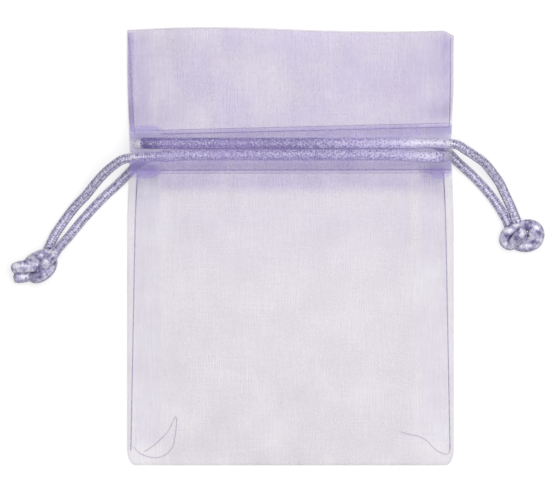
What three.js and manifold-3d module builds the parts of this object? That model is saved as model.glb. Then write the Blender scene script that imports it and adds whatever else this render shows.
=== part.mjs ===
import * as THREE from 'three';
import { mergeVertices } from 'three/addons/utils/BufferGeometryUtils.js';
import Module from 'manifold-3d';

// Sheer organza drawstring pouch, lying on its back with the mouth towards +Y.
// Millimetres, +Z up. The origin is under the middle of the pouch, on the surface it lies on.
// The cloth is folded at the bottom, sewn up both sides, and turned in at the mouth as a deep
// facing. Two rows of stitches hold each facing to its panel and make a channel between them.
// Each drawstring runs through both channels, turns at the far side and comes out in a knot.

// Size of the pouch laid flat
const POUCH_WIDTH = 76.2;
const POUCH_HEIGHT = 101.6;
const WAIST_INSET = 0.7;
const WAIST_REACH = 9;
const CORNER_CLIP = 2;

// Cloth and the clearance between one layer and the next
const CLOTH = 0.3;
const LAYER_GAP = 0.3;

// Casing: the sewn channel under the ruffle
const RUFFLE_HEIGHT = 22.8;
const CASING_HEIGHT = 10.7;
const BACK_CASING_HEIGHT = 9.1;
const STITCH_LAND = 0.4;
const FACING_DROP = 5.4;
const HEM_INSET = 0.4;

// Openness: how far the cloth stands up
const NECK_OPENING = 4.8;
const BELLY_RISE = 1.5;
const BELLY_FULLNESS = 3;
const CROWN_FULLNESS = 4;
const MOUTH_FLARE = 1.5;
const MOUTH_RUNOUT = 7;
const FOLD_DEPTH = 0.8;

// Side seams
const SEAM_MARGIN = 2;
const ALLOWANCE_WIDTH = 7;
const ALLOWANCE_THICKNESS = 0.9;
const ALLOWANCE_TOE = 6.3;
const ALLOWANCE_EDGE = 0.6;

// Thread
const THREAD_DIAMETER = 0.5;
const THREAD_SEAT = 0.1;
const THREAD_SIDES = 6;
const ROW_END = 1.2;

// Drawstrings
const CORD_DIAMETER = 2.3;
const CORD_SIDES = 8;
const LANE_GAP = 0.9;
const TURN_INSET = 2.5;

// Knots: the two ends tied together in one overhand knot and pulled down
const KNOT_SPACING = 0.55;
const KNOT_BEND_CLEARANCE = 0.15;
const KNOT_EASE_PASSES = 30;
const KNOT_RUN_POINTS = 10;
const KNOT_RUN_OVERLAP = 2;

// Derived lines across the pouch
const HALF_WIDTH = POUCH_WIDTH / 2;
const MOUTH_Y = POUCH_HEIGHT / 2;
const FOLD_Y = -POUCH_HEIGHT / 2;
const CASING_TOP_Y = MOUTH_Y - RUFFLE_HEIGHT;
const CASING_LOW_Y = CASING_TOP_Y - CASING_HEIGHT;
const CASING_MID_Y = (CASING_TOP_Y + CASING_LOW_Y) / 2;
const RUFFLE_SEAM_Y = CASING_TOP_Y + MOUTH_RUNOUT;
const BODY_SEAM_Y = CASING_LOW_Y - MOUTH_RUNOUT;

// Derived heights, from the back panel up through the stack of layers
const CORD_RADIUS = CORD_DIAMETER / 2;
const THREAD_RADIUS = THREAD_DIAMETER / 2;
const CHANNEL_CLEAR = CORD_DIAMETER + 2 * LAYER_GAP;
const CHANNEL_RISE = CHANNEL_CLEAR - LAYER_GAP;
const BACK_FACING_Z = CLOTH + LAYER_GAP;
const NECK_FLOOR_Z = BACK_FACING_Z + CHANNEL_RISE + CLOTH;
const NECK_ROOF_Z = NECK_FLOOR_Z + NECK_OPENING;
const FRONT_ROW_Z = NECK_ROOF_Z + CLOTH + LAYER_GAP;
const SEAM_Z = BACK_FACING_Z + ALLOWANCE_THICKNESS + LAYER_GAP;
const BACK_CORD_Z = CLOTH + LAYER_GAP + CORD_RADIUS;
const FRONT_CORD_Z = FRONT_ROW_Z + CORD_RADIUS;

// Derived lanes: the two drawstrings lie side by side in each channel
const LANE_OFFSET = (CORD_DIAMETER + LANE_GAP) / 2;
const LANES_HALF = LANE_OFFSET + CORD_RADIUS + LAYER_GAP;
const TURN_RADIUS = (FRONT_CORD_Z - BACK_CORD_Z) / 2;
const FACING_HALF = HALF_WIDTH - TURN_INSET - TURN_RADIUS;

const wasm = await Module();
wasm.setup();

const pouch = new THREE.Group();

// Finishes

const organza = (color) => new THREE.MeshStandardMaterial({
  color, roughness: 0.55, metalness: 0, transparent: true, opacity: 0.6, side: THREE.DoubleSide,
});
const satin = (color) => new THREE.MeshStandardMaterial({ color, roughness: 0.4, metalness: 0 });
const cotton = (color) => new THREE.MeshStandardMaterial({ color, roughness: 0.8, metalness: 0 });
const PANEL_COLOUR = 0xcfc4e2;
const FACING_COLOUR = 0xc6bbde;
const CORD_COLOUR = 0xb4aed0;
const THREAD_COLOUR = 0xa79bc4;

function addPiece(name, geometry, material) {
  const mesh = new THREE.Mesh(geometry, material);
  mesh.name = name;
  pouch.add(mesh);
  return mesh;
}

// Small helpers

const clamp01 = (value) => Math.min(1, Math.max(0, value));
const ease = (value) => clamp01(value) ** 2 * (3 - 2 * clamp01(value));
const point = (list) => new THREE.Vector3(...list);

function spread(first, last, count) {
  return Array.from({ length: count + 1 }, (_, i) => first + ((last - first) * i) / count);
}

function tube(points, diameter, steps, sides = CORD_SIDES) {
  const section = new THREE.Shape(Array.from({ length: sides }, (_, i) => {
    const angle = (2 * Math.PI * i) / sides;
    return new THREE.Vector2(Math.cos(angle), Math.sin(angle)).multiplyScalar(diameter / 2);
  }));
  const extrudePath = new THREE.CatmullRomCurve3(points.map(point), false, 'centripetal');
  return new THREE.ExtrudeGeometry(section, { steps, extrudePath, bevelEnabled: false });
}

// A sheet of cloth with a thickness, from a grid of points on its underside.
// Rows run towards +Y and the points of a row towards +X.
function sheetSolid(grid, thickness) {
  const columns = grid[0].length;
  const under = grid.flat();
  const over = under.map(([x, y, z]) => [x, y, z + thickness]);
  const positions = new Float32Array([...under, ...over].flat());
  const low = (r, c) => r * columns + c;
  const high = (r, c) => under.length + low(r, c);
  const index = [];
  for (let r = 0; r + 1 < grid.length; r += 1) {
    for (let c = 0; c + 1 < columns; c += 1) {
      index.push(high(r, c), high(r, c + 1), high(r + 1, c + 1));
      index.push(high(r, c), high(r + 1, c + 1), high(r + 1, c));
      index.push(low(r, c), low(r + 1, c + 1), low(r, c + 1));
      index.push(low(r, c), low(r + 1, c), low(r + 1, c + 1));
    }
  }
  const lastRow = grid.length - 1;
  const lastColumn = columns - 1;
  const rim = [
    ...grid[0].map((_, c) => [0, c]),
    ...grid.map((_, r) => [r, lastColumn]).slice(1),
    ...grid[0].map((_, c) => [lastRow, lastColumn - c]).slice(1),
    ...grid.map((_, r) => [lastRow - r, 0]).slice(1),
  ];
  for (let i = 0; i + 1 < rim.length; i += 1) {
    const [p, q] = [rim[i], rim[i + 1]];
    index.push(low(...p), low(...q), high(...q));
    index.push(low(...p), high(...q), high(...p));
  }
  const geometry = new THREE.BufferGeometry();
  geometry.setAttribute('position', new THREE.BufferAttribute(positions, 3));
  geometry.setIndex(index);
  return geometry;
}

function solidOf(geometry) {
  const bare = geometry.clone();
  bare.deleteAttribute('normal');
  bare.deleteAttribute('uv');
  const merged = mergeVertices(bare, 1e-4);
  return new wasm.Manifold(new wasm.Mesh({
    numProp: 3,
    vertProperties: new Float32Array(merged.attributes.position.array),
    triVerts: new Uint32Array(merged.index.array),
  }));
}

function joined(geometries) {
  const whole = geometries.map(solidOf).reduce((sum, solid) => sum.add(solid)).getMesh();
  const geometry = new THREE.BufferGeometry();
  geometry.setAttribute('position', new THREE.BufferAttribute(whole.vertProperties, 3));
  geometry.setIndex(new THREE.BufferAttribute(whole.triVerts, 1));
  return geometry;
}

// Outline and crown of the pouch

// Half of the pouch's width at y: drawn in a little at the casing, clipped at the bottom corners.
function halfWidthAt(y) {
  const waist = WAIST_INSET * Math.exp(-(((y - CASING_MID_Y) / WAIST_REACH) ** 2));
  const clip = Math.max(0, CORNER_CLIP - (y - FOLD_Y));
  return HALF_WIDTH - waist - clip;
}

// How far the side edges stand open: fully at the casing's mouths, shut along the seams.
function mouthOpenAt(y) {
  const beyond = Math.max(CASING_LOW_Y - y, y - CASING_TOP_Y, 0);
  return 1 - ease(beyond / MOUTH_RUNOUT);
}

// Underside of the front panel along the middle line, without the channel's rise.
function roofAt(y) {
  if (y >= CASING_LOW_Y) {
    return FRONT_ROW_Z + MOUTH_FLARE * ease((y - CASING_TOP_Y) / (MOUTH_Y - CASING_TOP_Y));
  }
  const down = clamp01((CASING_LOW_Y - y) / (CASING_LOW_Y - FOLD_Y - FOLD_DEPTH));
  const slope = (FRONT_ROW_Z - SEAM_Z) * (1 - down ** BELLY_FULLNESS);
  return SEAM_Z + slope + BELLY_RISE * Math.sin(Math.PI * down);
}

// Underside of the front panel, crowned across the pouch and flat along the seam margins.
function crownAt(x, y) {
  const across = clamp01(Math.abs(x) / (halfWidthAt(y) - SEAM_MARGIN));
  const seam = SEAM_Z + (roofAt(y) - SEAM_Z) * mouthOpenAt(y);
  return seam + (roofAt(y) - seam) * (1 - across ** CROWN_FULLNESS);
}

// Share of a channel's rise at y, for a casing sewn at the given distance from its middle.
function channelShare(y, rowDistance) {
  const away = Math.abs(y - CASING_MID_Y);
  return clamp01((rowDistance - STITCH_LAND - away) / (rowDistance - STITCH_LAND - LANES_HALF));
}

function channelRows(rowDistance) {
  const steps = [rowDistance, rowDistance - STITCH_LAND, LANES_HALF];
  const lower = steps.map((away) => CASING_MID_Y - away);
  const upper = steps.map((away) => CASING_MID_Y + away).reverse();
  return [...lower, CASING_MID_Y, ...upper];
}

// Panels and facings

const FRONT_ROW_DISTANCE = CASING_HEIGHT / 2;
const BACK_ROW_DISTANCE = BACK_CASING_HEIGHT / 2;
const BODY_ROWS = 11;
const RUNOUT_ROWS = 4;
const RUFFLE_ROWS = 3;
const CROWN_COLUMNS = 6;

const ruffleRows = [
  ...spread(CASING_TOP_Y, RUFFLE_SEAM_Y, RUNOUT_ROWS).slice(1),
  ...spread(RUFFLE_SEAM_Y, MOUTH_Y, RUFFLE_ROWS).slice(1),
];
const frontRows = [
  FOLD_Y,
  FOLD_Y + FOLD_DEPTH,
  ...spread(FOLD_Y + CORNER_CLIP, BODY_SEAM_Y, BODY_ROWS),
  ...spread(BODY_SEAM_Y, CASING_LOW_Y, RUNOUT_ROWS).slice(1),
  ...channelRows(FRONT_ROW_DISTANCE).slice(1),
  ...ruffleRows,
];

function frontPanel() {
  const grid = frontRows.map((y) => {
    const edge = halfWidthAt(y);
    const stitch = edge - SEAM_MARGIN;
    const inner = spread(-CROWN_COLUMNS, CROWN_COLUMNS, 2 * CROWN_COLUMNS)
      .map((k) => stitch * Math.sin((Math.PI / 2) * (k / CROWN_COLUMNS)));
    const rise = CHANNEL_RISE * channelShare(y, FRONT_ROW_DISTANCE);
    return [-edge, ...inner, edge].map((x) => {
      const z = y === FOLD_Y ? BACK_FACING_Z : crownAt(x, y) + rise;
      return [x, y, z];
    });
  });
  return sheetSolid(grid, CLOTH);
}

function backPanel() {
  const grid = frontRows.map((y) => [[-halfWidthAt(y), y, 0], [halfWidthAt(y), y, 0]]);
  return sheetSolid(grid, CLOTH);
}

// The turned-in hem behind the front panel. It runs flat under the front channel's cords.
function frontFacing() {
  const rows = [
    CASING_LOW_Y - FACING_DROP,
    (CASING_LOW_Y * 2 - FACING_DROP) / 2,
    CASING_LOW_Y,
    CASING_MID_Y,
    CASING_TOP_Y,
    ...ruffleRows.slice(0, -1),
    MOUTH_Y - HEM_INSET,
  ];
  const columns = spread(-FACING_HALF, FACING_HALF, 2 * CROWN_COLUMNS);
  const grid = rows.map((y) => columns.map((x) => [x, y, crownAt(x, y) - CLOTH - LAYER_GAP]));
  return sheetSolid(grid, CLOTH);
}

// The turned-in hem over the back panel. It arches over the back channel's cords.
function backFacing() {
  const rows = [
    CASING_LOW_Y - FACING_DROP,
    ...channelRows(BACK_ROW_DISTANCE),
    MOUTH_Y - HEM_INSET,
  ];
  const grid = rows.map((y) => {
    const z = BACK_FACING_Z + CHANNEL_RISE * channelShare(y, BACK_ROW_DISTANCE);
    return [[-FACING_HALF, y, z], [FACING_HALF, y, z]];
  });
  return sheetSolid(grid, CLOTH);
}

addPiece('front_panel', frontPanel(), organza(PANEL_COLOUR));
addPiece('back_panel', backPanel(), organza(PANEL_COLOUR));
addPiece('front_facing', frontFacing(), organza(FACING_COLOUR));
addPiece('back_facing', backFacing(), organza(FACING_COLOUR));

// Side seams: the allowance folded inside, and the row of stitches through it

function addAllowance(name, side, innerX, fromY, toY) {
  const outerX = HALF_WIDTH - ALLOWANCE_EDGE;
  const strip = new THREE.BoxGeometry(outerX - innerX, toY - fromY, ALLOWANCE_THICKNESS);
  const mesh = addPiece(name, strip, organza(FACING_COLOUR));
  const middleZ = BACK_FACING_Z + ALLOWANCE_THICKNESS / 2;
  mesh.position.set(side * ((innerX + outerX) / 2), (fromY + toY) / 2, middleZ);
}

function addSeamThread(name, side, fromY, toY) {
  const z = SEAM_Z + CLOTH + THREAD_SEAT + THREAD_RADIUS;
  const route = spread(fromY, toY, 3)
    .map((y) => [side * (halfWidthAt(y) - SEAM_MARGIN + THREAD_DIAMETER), y, z]);
  addPiece(name, tube(route, THREAD_DIAMETER, 3, THREAD_SIDES), cotton(THREAD_COLOUR));
}

for (const [label, side] of [['left', -1], ['right', 1]]) {
  const bodyInnerX = HALF_WIDTH - SEAM_MARGIN - ALLOWANCE_WIDTH;
  const ruffleInnerX = FACING_HALF + LAYER_GAP;
  addAllowance(`${label}_side_allowance`, side, bodyInnerX, FOLD_Y + ALLOWANCE_TOE, BODY_SEAM_Y);
  addAllowance(`${label}_ruffle_allowance`, side, ruffleInnerX, RUFFLE_SEAM_Y, MOUTH_Y - HEM_INSET);
  addSeamThread(`${label}_side_thread`, side, FOLD_Y + CORNER_CLIP + ROW_END, BODY_SEAM_Y);
  addSeamThread(`${label}_ruffle_thread`, side, RUFFLE_SEAM_Y, MOUTH_Y - ROW_END);
}

// Casing rows: stitches across the front panel, and across the facing inside the back

function addCasingRow(name, y, clothTop, halfLength) {
  const z = clothTop + THREAD_SEAT + THREAD_RADIUS;
  const route = [[-halfLength, y, z], [halfLength, y, z]];
  addPiece(name, tube(route, THREAD_DIAMETER, 1, THREAD_SIDES), cotton(THREAD_COLOUR));
}

for (const [label, way] of [['lower', -1], ['upper', 1]]) {
  const frontY = CASING_MID_Y + way * FRONT_ROW_DISTANCE;
  const backY = CASING_MID_Y + way * BACK_ROW_DISTANCE;
  const frontHalf = halfWidthAt(frontY) - ROW_END;
  addCasingRow(`front_casing_${label}_thread`, frontY, FRONT_ROW_Z + CLOTH, frontHalf);
  addCasingRow(`back_casing_${label}_thread`, backY, BACK_FACING_Z + CLOTH, FACING_HALF);
}

// Loose thread ends left inside the bottom corners, lying on the back panel.
// Each point is a distance in from the side edge and a distance up from the fold.
const LEFT_TAIL = [[2.1, 4.2], [3.2, 3], [5.4, 2.1], [8.9, 2.5], [10.7, 4.5], [11.4, 7.3], [11.7, 11.8]];
const RIGHT_TAIL = [[2.1, 4], [4.2, 3.6], [7.1, 3.2], [9.7, 3.9], [11.5, 5.6], [12.6, 8], [14, 9.6]];
const TAIL_STEPS = 14;

for (const [label, side, tail] of [['left', -1, LEFT_TAIL], ['right', 1, RIGHT_TAIL]]) {
  const z = CLOTH + THREAD_SEAT + THREAD_RADIUS;
  const route = tail.map(([inward, upward]) => [side * (HALF_WIDTH - inward), FOLD_Y + upward, z]);
  const thread = tube(route, THREAD_DIAMETER, TAIL_STEPS, THREAD_SIDES);
  addPiece(`${label}_thread_tail`, thread, cotton(THREAD_COLOUR));
}

// Drawstrings. Routes are points outside the casing's mouth: the distance out from the side
// edge, the distance above the cord's lane and the height above the surface. Each strand goes
// on into its own half of the knot, whose route ends at the cord's cut end.
const DRAWSTRINGS = [
  {
    label: 'left',
    side: -1,
    laneY: CASING_MID_Y - LANE_OFFSET,
    frontRoute: [
      [0.7, -0.55, 9.9], [3.2, -2.1, 8.7], [5.35, -3.95, 7.1], [7.45, -6.25, 5.3], [9.55, -8.85, 3.6],
      [11.6, -10.95, 2.3], [13.5, -13.25, 1.6], [15.2, -15.6, 1.6],
    ],
    frontKnot: [
      [16.75, -17.9, 1.9], [18, -20.45, 3], [18.75, -22.1, 2.8], [19.35, -23.4, 1.8], [20.15, -24.3, 1.3],
      [21.2, -24.55, 1.4], [22.05, -24.1, 2.2], [22, -23.55, 3.4], [21.1, -23.55, 4], [19.7, -24.2, 4],
      [18.15, -25.15, 3.6], [17.45, -25.9, 2.5], [17.95, -26.65, 1.5], [19.35, -26.9, 1.25],
      [21.45, -26.65, 1.25], [23.2, -25.95, 1.5], [24.3, -25.2, 2.3], [24.35, -24.95, 3.5],
      [23.4, -25.25, 4.6], [21.9, -26.15, 5], [20.25, -27.15, 4.6], [19.1, -27.8, 3.5], [19.05, -28.1, 2.1],
      [20.15, -28, 1.4], [21.9, -28, 1.8], [23.75, -28.35, 2.3], [25.65, -28.8, 2.4],
    ],
    backRoute: [
      [-3.6, -0.75, 1.75], [-1.6, -2.45, 1.75], [0.7, -4.85, 1.7], [2.6, -6.7, 1.35], [4.65, -8.55, 1.25],
      [7.1, -11, 1.2], [9.2, -13.25, 1.25], [11.35, -15.75, 1.4],
    ],
    backKnot: [
      [13.75, -18.7, 2.2], [15.6, -20.8, 3.8], [16.95, -22.45, 5], [18.35, -24.05, 5.4], [19.7, -25.5, 4.6],
      [21.1, -26.65, 3], [23.05, -27.55, 1.7], [24.8, -27.35, 1.35], [26, -26.55, 2], [26.25, -25.9, 3.2],
      [25.4, -25.9, 4.4], [24, -26.75, 4.9], [22.6, -28, 4.4], [21.75, -28.85, 3.2], [22, -29, 1.8],
      [23.05, -28.4, 1.4], [24.1, -27.75, 2], [25.15, -27.55, 2.7], [26.25, -27.7, 2.8],
    ],
  },
  {
    label: 'right',
    side: 1,
    laneY: CASING_MID_Y + LANE_OFFSET,
    frontRoute: [
      [0.6, -0.4, 9.95], [2.3, -1.4, 9.3], [4.7, -2.9, 7.8], [7, -4.55, 6], [9.2, -7.15, 4.2],
      [10.8, -9.45, 2.9], [11.9, -11.75, 2.2], [12.95, -14, 2.2],
    ],
    frontKnot: [
      [13.75, -15.85, 2.4], [14.65, -18.1, 2.8], [15.25, -19.7, 2.1], [16.05, -21.45, 1.4],
      [17.35, -22.4, 1.5], [18.5, -22.05, 2.3], [18.7, -20.85, 3.1], [17.75, -20.15, 3.4],
    ],
    backRoute: [
      [-3.9, -0.4, 1.75], [-2.1, -1.3, 1.75], [-0.7, -2.65, 1.75], [0.7, -4.15, 1.7], [2.3, -5.6, 1.45],
      [4, -7.15, 1.25], [6.3, -9.45, 1.2], [8.15, -11.75, 1.2], [9.7, -14, 1.25],
    ],
    backKnot: [
      [10.85, -15.85, 1.3], [12.1, -17.95, 1.8], [12.7, -19.45, 1.8], [13.3, -21.55, 1.4],
      [14.65, -23.45, 1.5], [17, -24, 1.8], [19.1, -23.1, 2.2], [19.8, -21.2, 2.6], [19.1, -19.6, 3],
      [17.45, -19, 2.8], [15.95, -19.3, 2.5], [14.35, -19.8, 3.2], [12.9, -20.45, 3.6], [12, -21.55, 3.1],
      [11.95, -22.9, 2.5], [13.05, -23.6, 2.7], [14.15, -22.7, 3.9], [15.15, -21.5, 4.6], [16.35, -20.3, 4.9],
    ],
  },
];
const CASING_CORD_STEPS = 64;
const STRAND_STEPS = 22;
const TURN_POINTS = 6;

// The run inside the casing: along the front channel, round the far side, back along the back.
function casingCord({ side, laneY }) {
  const near = side * (FACING_HALF - LAYER_GAP);
  const far = -side * FACING_HALF;
  const middleZ = (FRONT_CORD_Z + BACK_CORD_Z) / 2;
  const along = spread(near, far, 4).slice(0, -1);
  const turn = spread(90, -90, TURN_POINTS).map((degrees) => {
    const angle = THREE.MathUtils.degToRad(degrees);
    return [far - side * TURN_RADIUS * Math.cos(angle), laneY, middleZ + TURN_RADIUS * Math.sin(angle)];
  });
  const route = [
    ...along.map((x) => [x, laneY, FRONT_CORD_Z]),
    ...turn,
    ...along.map((x) => [x, laneY, BACK_CORD_Z]).reverse(),
  ];
  return tube(route, CORD_DIAMETER, CASING_CORD_STEPS);
}

// Half of a knot: even points along its route, eased wherever the cord would bend too sharply.
function knotPath(route) {
  const curve = new THREE.CatmullRomCurve3(route.map(point), false, 'centripetal');
  const path = curve.getSpacedPoints(Math.round(curve.getLength() / KNOT_SPACING));
  for (let pass = 0; pass < KNOT_EASE_PASSES; pass += 1) {
    for (let i = 1; i + 1 < path.length; i += 1) {
      const middle = path[i - 1].clone().lerp(path[i + 1], 0.5);
      const bow = middle.distanceTo(path[i]);
      const most = middle.distanceTo(path[i + 1]) ** 2 / (2 * (CORD_RADIUS + KNOT_BEND_CLEARANCE));
      if (bow > most) path[i].lerp(middle, 1 - most / bow);
    }
  }
  return path.map((place) => place.toArray());
}

// The path as short tubes that overlap end to end, because the cord presses on itself.
function knotRuns(path) {
  const count = Math.ceil((path.length - 1) / KNOT_RUN_POINTS);
  return Array.from({ length: count }, (_, run) => {
    const from = run * KNOT_RUN_POINTS;
    const points = path.slice(from, from + KNOT_RUN_POINTS + KNOT_RUN_OVERLAP + 1);
    return tube(points, CORD_DIAMETER, Math.ceil((points.length - 1) / 2));
  });
}

function addDrawstring(drawstring) {
  const { label, side, laneY } = drawstring;
  const outside = ([out, above, z]) => [side * (HALF_WIDTH + out), laneY + above, z];

  // A free strand, from the casing's mouth to a clearance short of the knot.
  const strand = (route, knot, startZ) => {
    const lastPoint = point(outside(route.at(-1)));
    const knotPoint = point(outside(knot[0]));
    const short = LAYER_GAP / knotPoint.distanceTo(lastPoint);
    return tube([
      [side * FACING_HALF, laneY, startZ],
      [side * (FACING_HALF + CORD_RADIUS), laneY, startZ],
      ...route.map(outside),
      knotPoint.lerp(lastPoint, short).toArray(),
    ], CORD_DIAMETER, STRAND_STEPS);
  };
  const frontStrand = strand(drawstring.frontRoute, drawstring.frontKnot, FRONT_CORD_Z);
  const backStrand = strand(drawstring.backRoute, drawstring.backKnot, BACK_CORD_Z);
  const halves = [drawstring.frontKnot, drawstring.backKnot].map((route) => knotPath(route.map(outside)));

  addPiece(`${label}_casing_cord`, casingCord(drawstring), satin(CORD_COLOUR));
  addPiece(`${label}_front_strand`, frontStrand, satin(CORD_COLOUR));
  addPiece(`${label}_back_strand`, backStrand, satin(CORD_COLOUR));
  addPiece(`${label}_knot`, joined(halves.flatMap(knotRuns)), satin(CORD_COLOUR));
}

DRAWSTRINGS.forEach(addDrawstring);

export default pouch;
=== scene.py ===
"""Sheer organza drawstring pouch lying flat on its back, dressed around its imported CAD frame.

Everything is in metres, in the CAD frame: X runs across the pouch, Y up towards its mouth and Z up
off the table. The cloth comes first, then its stitching, the drawstrings, the light and the camera.
"""

import logging
import math
from dataclasses import dataclass, field
from enum import Enum
from typing import Callable, Sequence

import bpy
import numpy as np
from bpy.types import Material, Mesh, Node, NodeSocket, NodeTree, Object
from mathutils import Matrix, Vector


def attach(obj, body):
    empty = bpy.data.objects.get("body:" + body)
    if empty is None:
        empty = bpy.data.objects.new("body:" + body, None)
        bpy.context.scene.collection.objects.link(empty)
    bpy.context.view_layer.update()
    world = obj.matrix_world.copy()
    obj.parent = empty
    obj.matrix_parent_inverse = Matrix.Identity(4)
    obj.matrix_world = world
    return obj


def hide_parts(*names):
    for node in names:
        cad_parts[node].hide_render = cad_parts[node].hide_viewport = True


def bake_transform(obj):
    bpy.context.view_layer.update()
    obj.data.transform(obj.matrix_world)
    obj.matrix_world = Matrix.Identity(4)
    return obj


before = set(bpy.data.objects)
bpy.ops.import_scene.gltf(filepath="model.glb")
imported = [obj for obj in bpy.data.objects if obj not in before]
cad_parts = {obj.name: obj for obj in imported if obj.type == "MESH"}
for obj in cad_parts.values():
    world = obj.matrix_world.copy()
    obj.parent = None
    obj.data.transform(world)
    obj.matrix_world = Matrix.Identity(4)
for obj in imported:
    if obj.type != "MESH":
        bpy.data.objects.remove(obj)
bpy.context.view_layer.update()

LOG = logging.getLogger("organza_pouch")
MM = 0.001
UP = np.array((0.0, 0.0, 1.0))
ACROSS = np.array((1.0, 0.0, 0.0))
NEARLY_UP = 0.9
CURVE_SAMPLES = 24
END_DOME = 0.35
NOISE_MIDDLE = 0.5
# A Mix node takes numbers and colours on inputs of their own.
NUMBER_A, NUMBER_B, COLOUR_A, COLOUR_B = 2, 3, 6, 7

Grid = np.ndarray
Point = tuple[float, float, float]
Pair = tuple[float, float]


class Side(Enum):
    """The two halves of the pouch, by the sign of X."""

    LEFT = -1
    RIGHT = 1

    @property
    def label(self) -> str:
        """The word that piece names start with."""
        return self.name.lower()

    @property
    def dragged_by(self) -> str:
        """The drawstring body whose turn lies in this half and gathers it: the opposite one."""
        return f"{'right' if self is Side.LEFT else 'left'}_drawstring"


class Zone(Enum):
    """The three bands of the pouch, which gather differently when the cords are pulled."""

    BODY = "body"
    CASING = "casing"
    RUFFLE = "ruffle"


def linear(hex_colour: str) -> tuple[float, float, float, float]:
    """Turn an sRGB hex colour into the linear colour that nodes take.

    Args:
        hex_colour: Six hex digits, with or without a leading hash.

    Returns:
        Linear red, green and blue, and an alpha of 1.
    """
    digits = hex_colour.lstrip("#")
    shares = [int(digits[i:i + 2], 16) / 255 for i in (0, 2, 4)]
    return (*(s / 12.92 if s <= 0.04045 else ((s + 0.055) / 1.055) ** 2.4 for s in shares), 1.0)


def ease(value: Grid | float) -> Grid | float:
    """Smooth step from 0 to 1."""
    t = np.clip(value, 0, 1)
    return t * t * (3 - 2 * t)


@dataclass(frozen=True)
class Ramp:
    """A soft rise from 0 to 1 along a measure, or with a negative reach a fall from 1 to 0."""

    start: float
    reach: float

    def at(self, value: Grid) -> Grid:
        """How far risen it is at each value."""
        return ease((value - self.start) / self.reach)


def add_node(tree: NodeTree, kind: str, inputs: dict | None = None, **settings: object) -> Node:
    """Add a node, set its properties, and set or link its inputs.

    Args:
        tree: The node tree that gets the node.
        kind: The node's bl_idname.
        inputs: Values, sockets or nodes, by input name or index. A node gives its first output in use.
        **settings: Properties of the node itself.

    Returns:
        The new node.
    """
    node = tree.nodes.new(kind)
    for name, value in settings.items():
        setattr(node, name, value)
    for key, value in (inputs or {}).items():
        if isinstance(value, Node):
            value = next(socket for socket in value.outputs if socket.enabled)
        if isinstance(value, NodeSocket):
            tree.links.new(value, node.inputs[key])
        else:
            node.inputs[key].default_value = value
    return node


def new_material(name: str) -> Material:
    """Make an empty node material.

    Args:
        name: What the real material is.

    Returns:
        The material, with no nodes in it.
    """
    material = bpy.data.materials.new(name)
    material.use_nodes = True
    material.node_tree.nodes.clear()
    return material


def finish_material(material: Material, relief: tuple[Node, float, float], surface: dict) -> Material:
    """Give a material its shader, with a fine relief.

    Args:
        material: The material, with its patterns in place.
        relief: The pattern that raises the surface, how strongly, and how far.
        surface: What the shader gets, by input name.

    Returns:
        The same material.
    """
    tree = material.node_tree
    pattern, strength, depth = relief
    raised = add_node(tree, "ShaderNodeBump", {"Height": pattern, "Strength": strength, "Distance": depth})
    shader = add_node(tree, "ShaderNodeBsdfPrincipled", {**surface, "Normal": raised})
    add_node(tree, "ShaderNodeOutputMaterial", {"Surface": shader})
    return material


def new_piece(name: str, mesh: Mesh, materials: Sequence[Material] = ()) -> Object:
    """Put a mesh into the scene at the origin, smooth shaded.

    Args:
        name: The piece's name.
        mesh: Its mesh, already in place.
        materials: Its material slots, in order; none are added where the mesh has its own.

    Returns:
        The new object.
    """
    for material in materials:
        mesh.materials.append(material)
    mesh.polygons.foreach_set("use_smooth", [True] * len(mesh.polygons))
    piece = bpy.data.objects.new(name, mesh)
    bpy.context.scene.collection.objects.link(piece)
    return piece


def set_attributes(mesh: Mesh, values: dict[str, Grid]) -> None:
    """Store numbers on a mesh's points.

    Args:
        mesh: The mesh.
        values: One number for each point, by attribute name.
    """
    for name, numbers in values.items():
        attribute = mesh.attributes.new(name, "FLOAT", "POINT")
        attribute.data.foreach_set("value", numbers.astype(np.float32))


def distances(path: Grid) -> Grid:
    """How far along a line of points each one is."""
    return np.concatenate([[0], np.cumsum(np.linalg.norm(np.diff(path, axis=0), axis=1))])


def path_length(path: Grid) -> float:
    """Length of a line of points."""
    return float(distances(path)[-1])


def even_curve(route: Grid, step: float) -> Grid:
    """Evenly spaced points along a smooth curve through a route's points.

    Args:
        route: Points to pass through, in order.
        step: About how far apart the points of the result are.

    Returns:
        Points along a centripetal Catmull-Rom curve.
    """
    ends = [2 * route[0] - route[1], *route, 2 * route[-1] - route[-2]]
    fine = []
    for four in zip(ends, ends[1:], ends[2:], ends[3:]):
        knots = np.cumsum([0, *(math.sqrt(np.linalg.norm(b - a)) for a, b in zip(four, four[1:]))])
        t = np.linspace(knots[1], knots[2], CURVE_SAMPLES, endpoint=False)[:, None]

        def mix(a: Grid, b: Grid, i: int, j: int) -> Grid:
            """Blend of two points or curves between two knots."""
            return ((knots[j] - t) * a + (t - knots[i]) * b) / (knots[j] - knots[i])

        a, b, c = (mix(four[i], four[i + 1], i, i + 1) for i in range(3))
        fine.append(mix(mix(a, b, 0, 2), mix(b, c, 1, 3), 1, 2))
    curve = np.concatenate([*fine, route[-1:]])
    run = distances(curve)
    places = np.linspace(0, run[-1], max(2, round(run[-1] / step)) + 1)
    return np.stack([np.interp(places, run, curve[:, axis]) for axis in range(3)], axis=-1)


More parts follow.
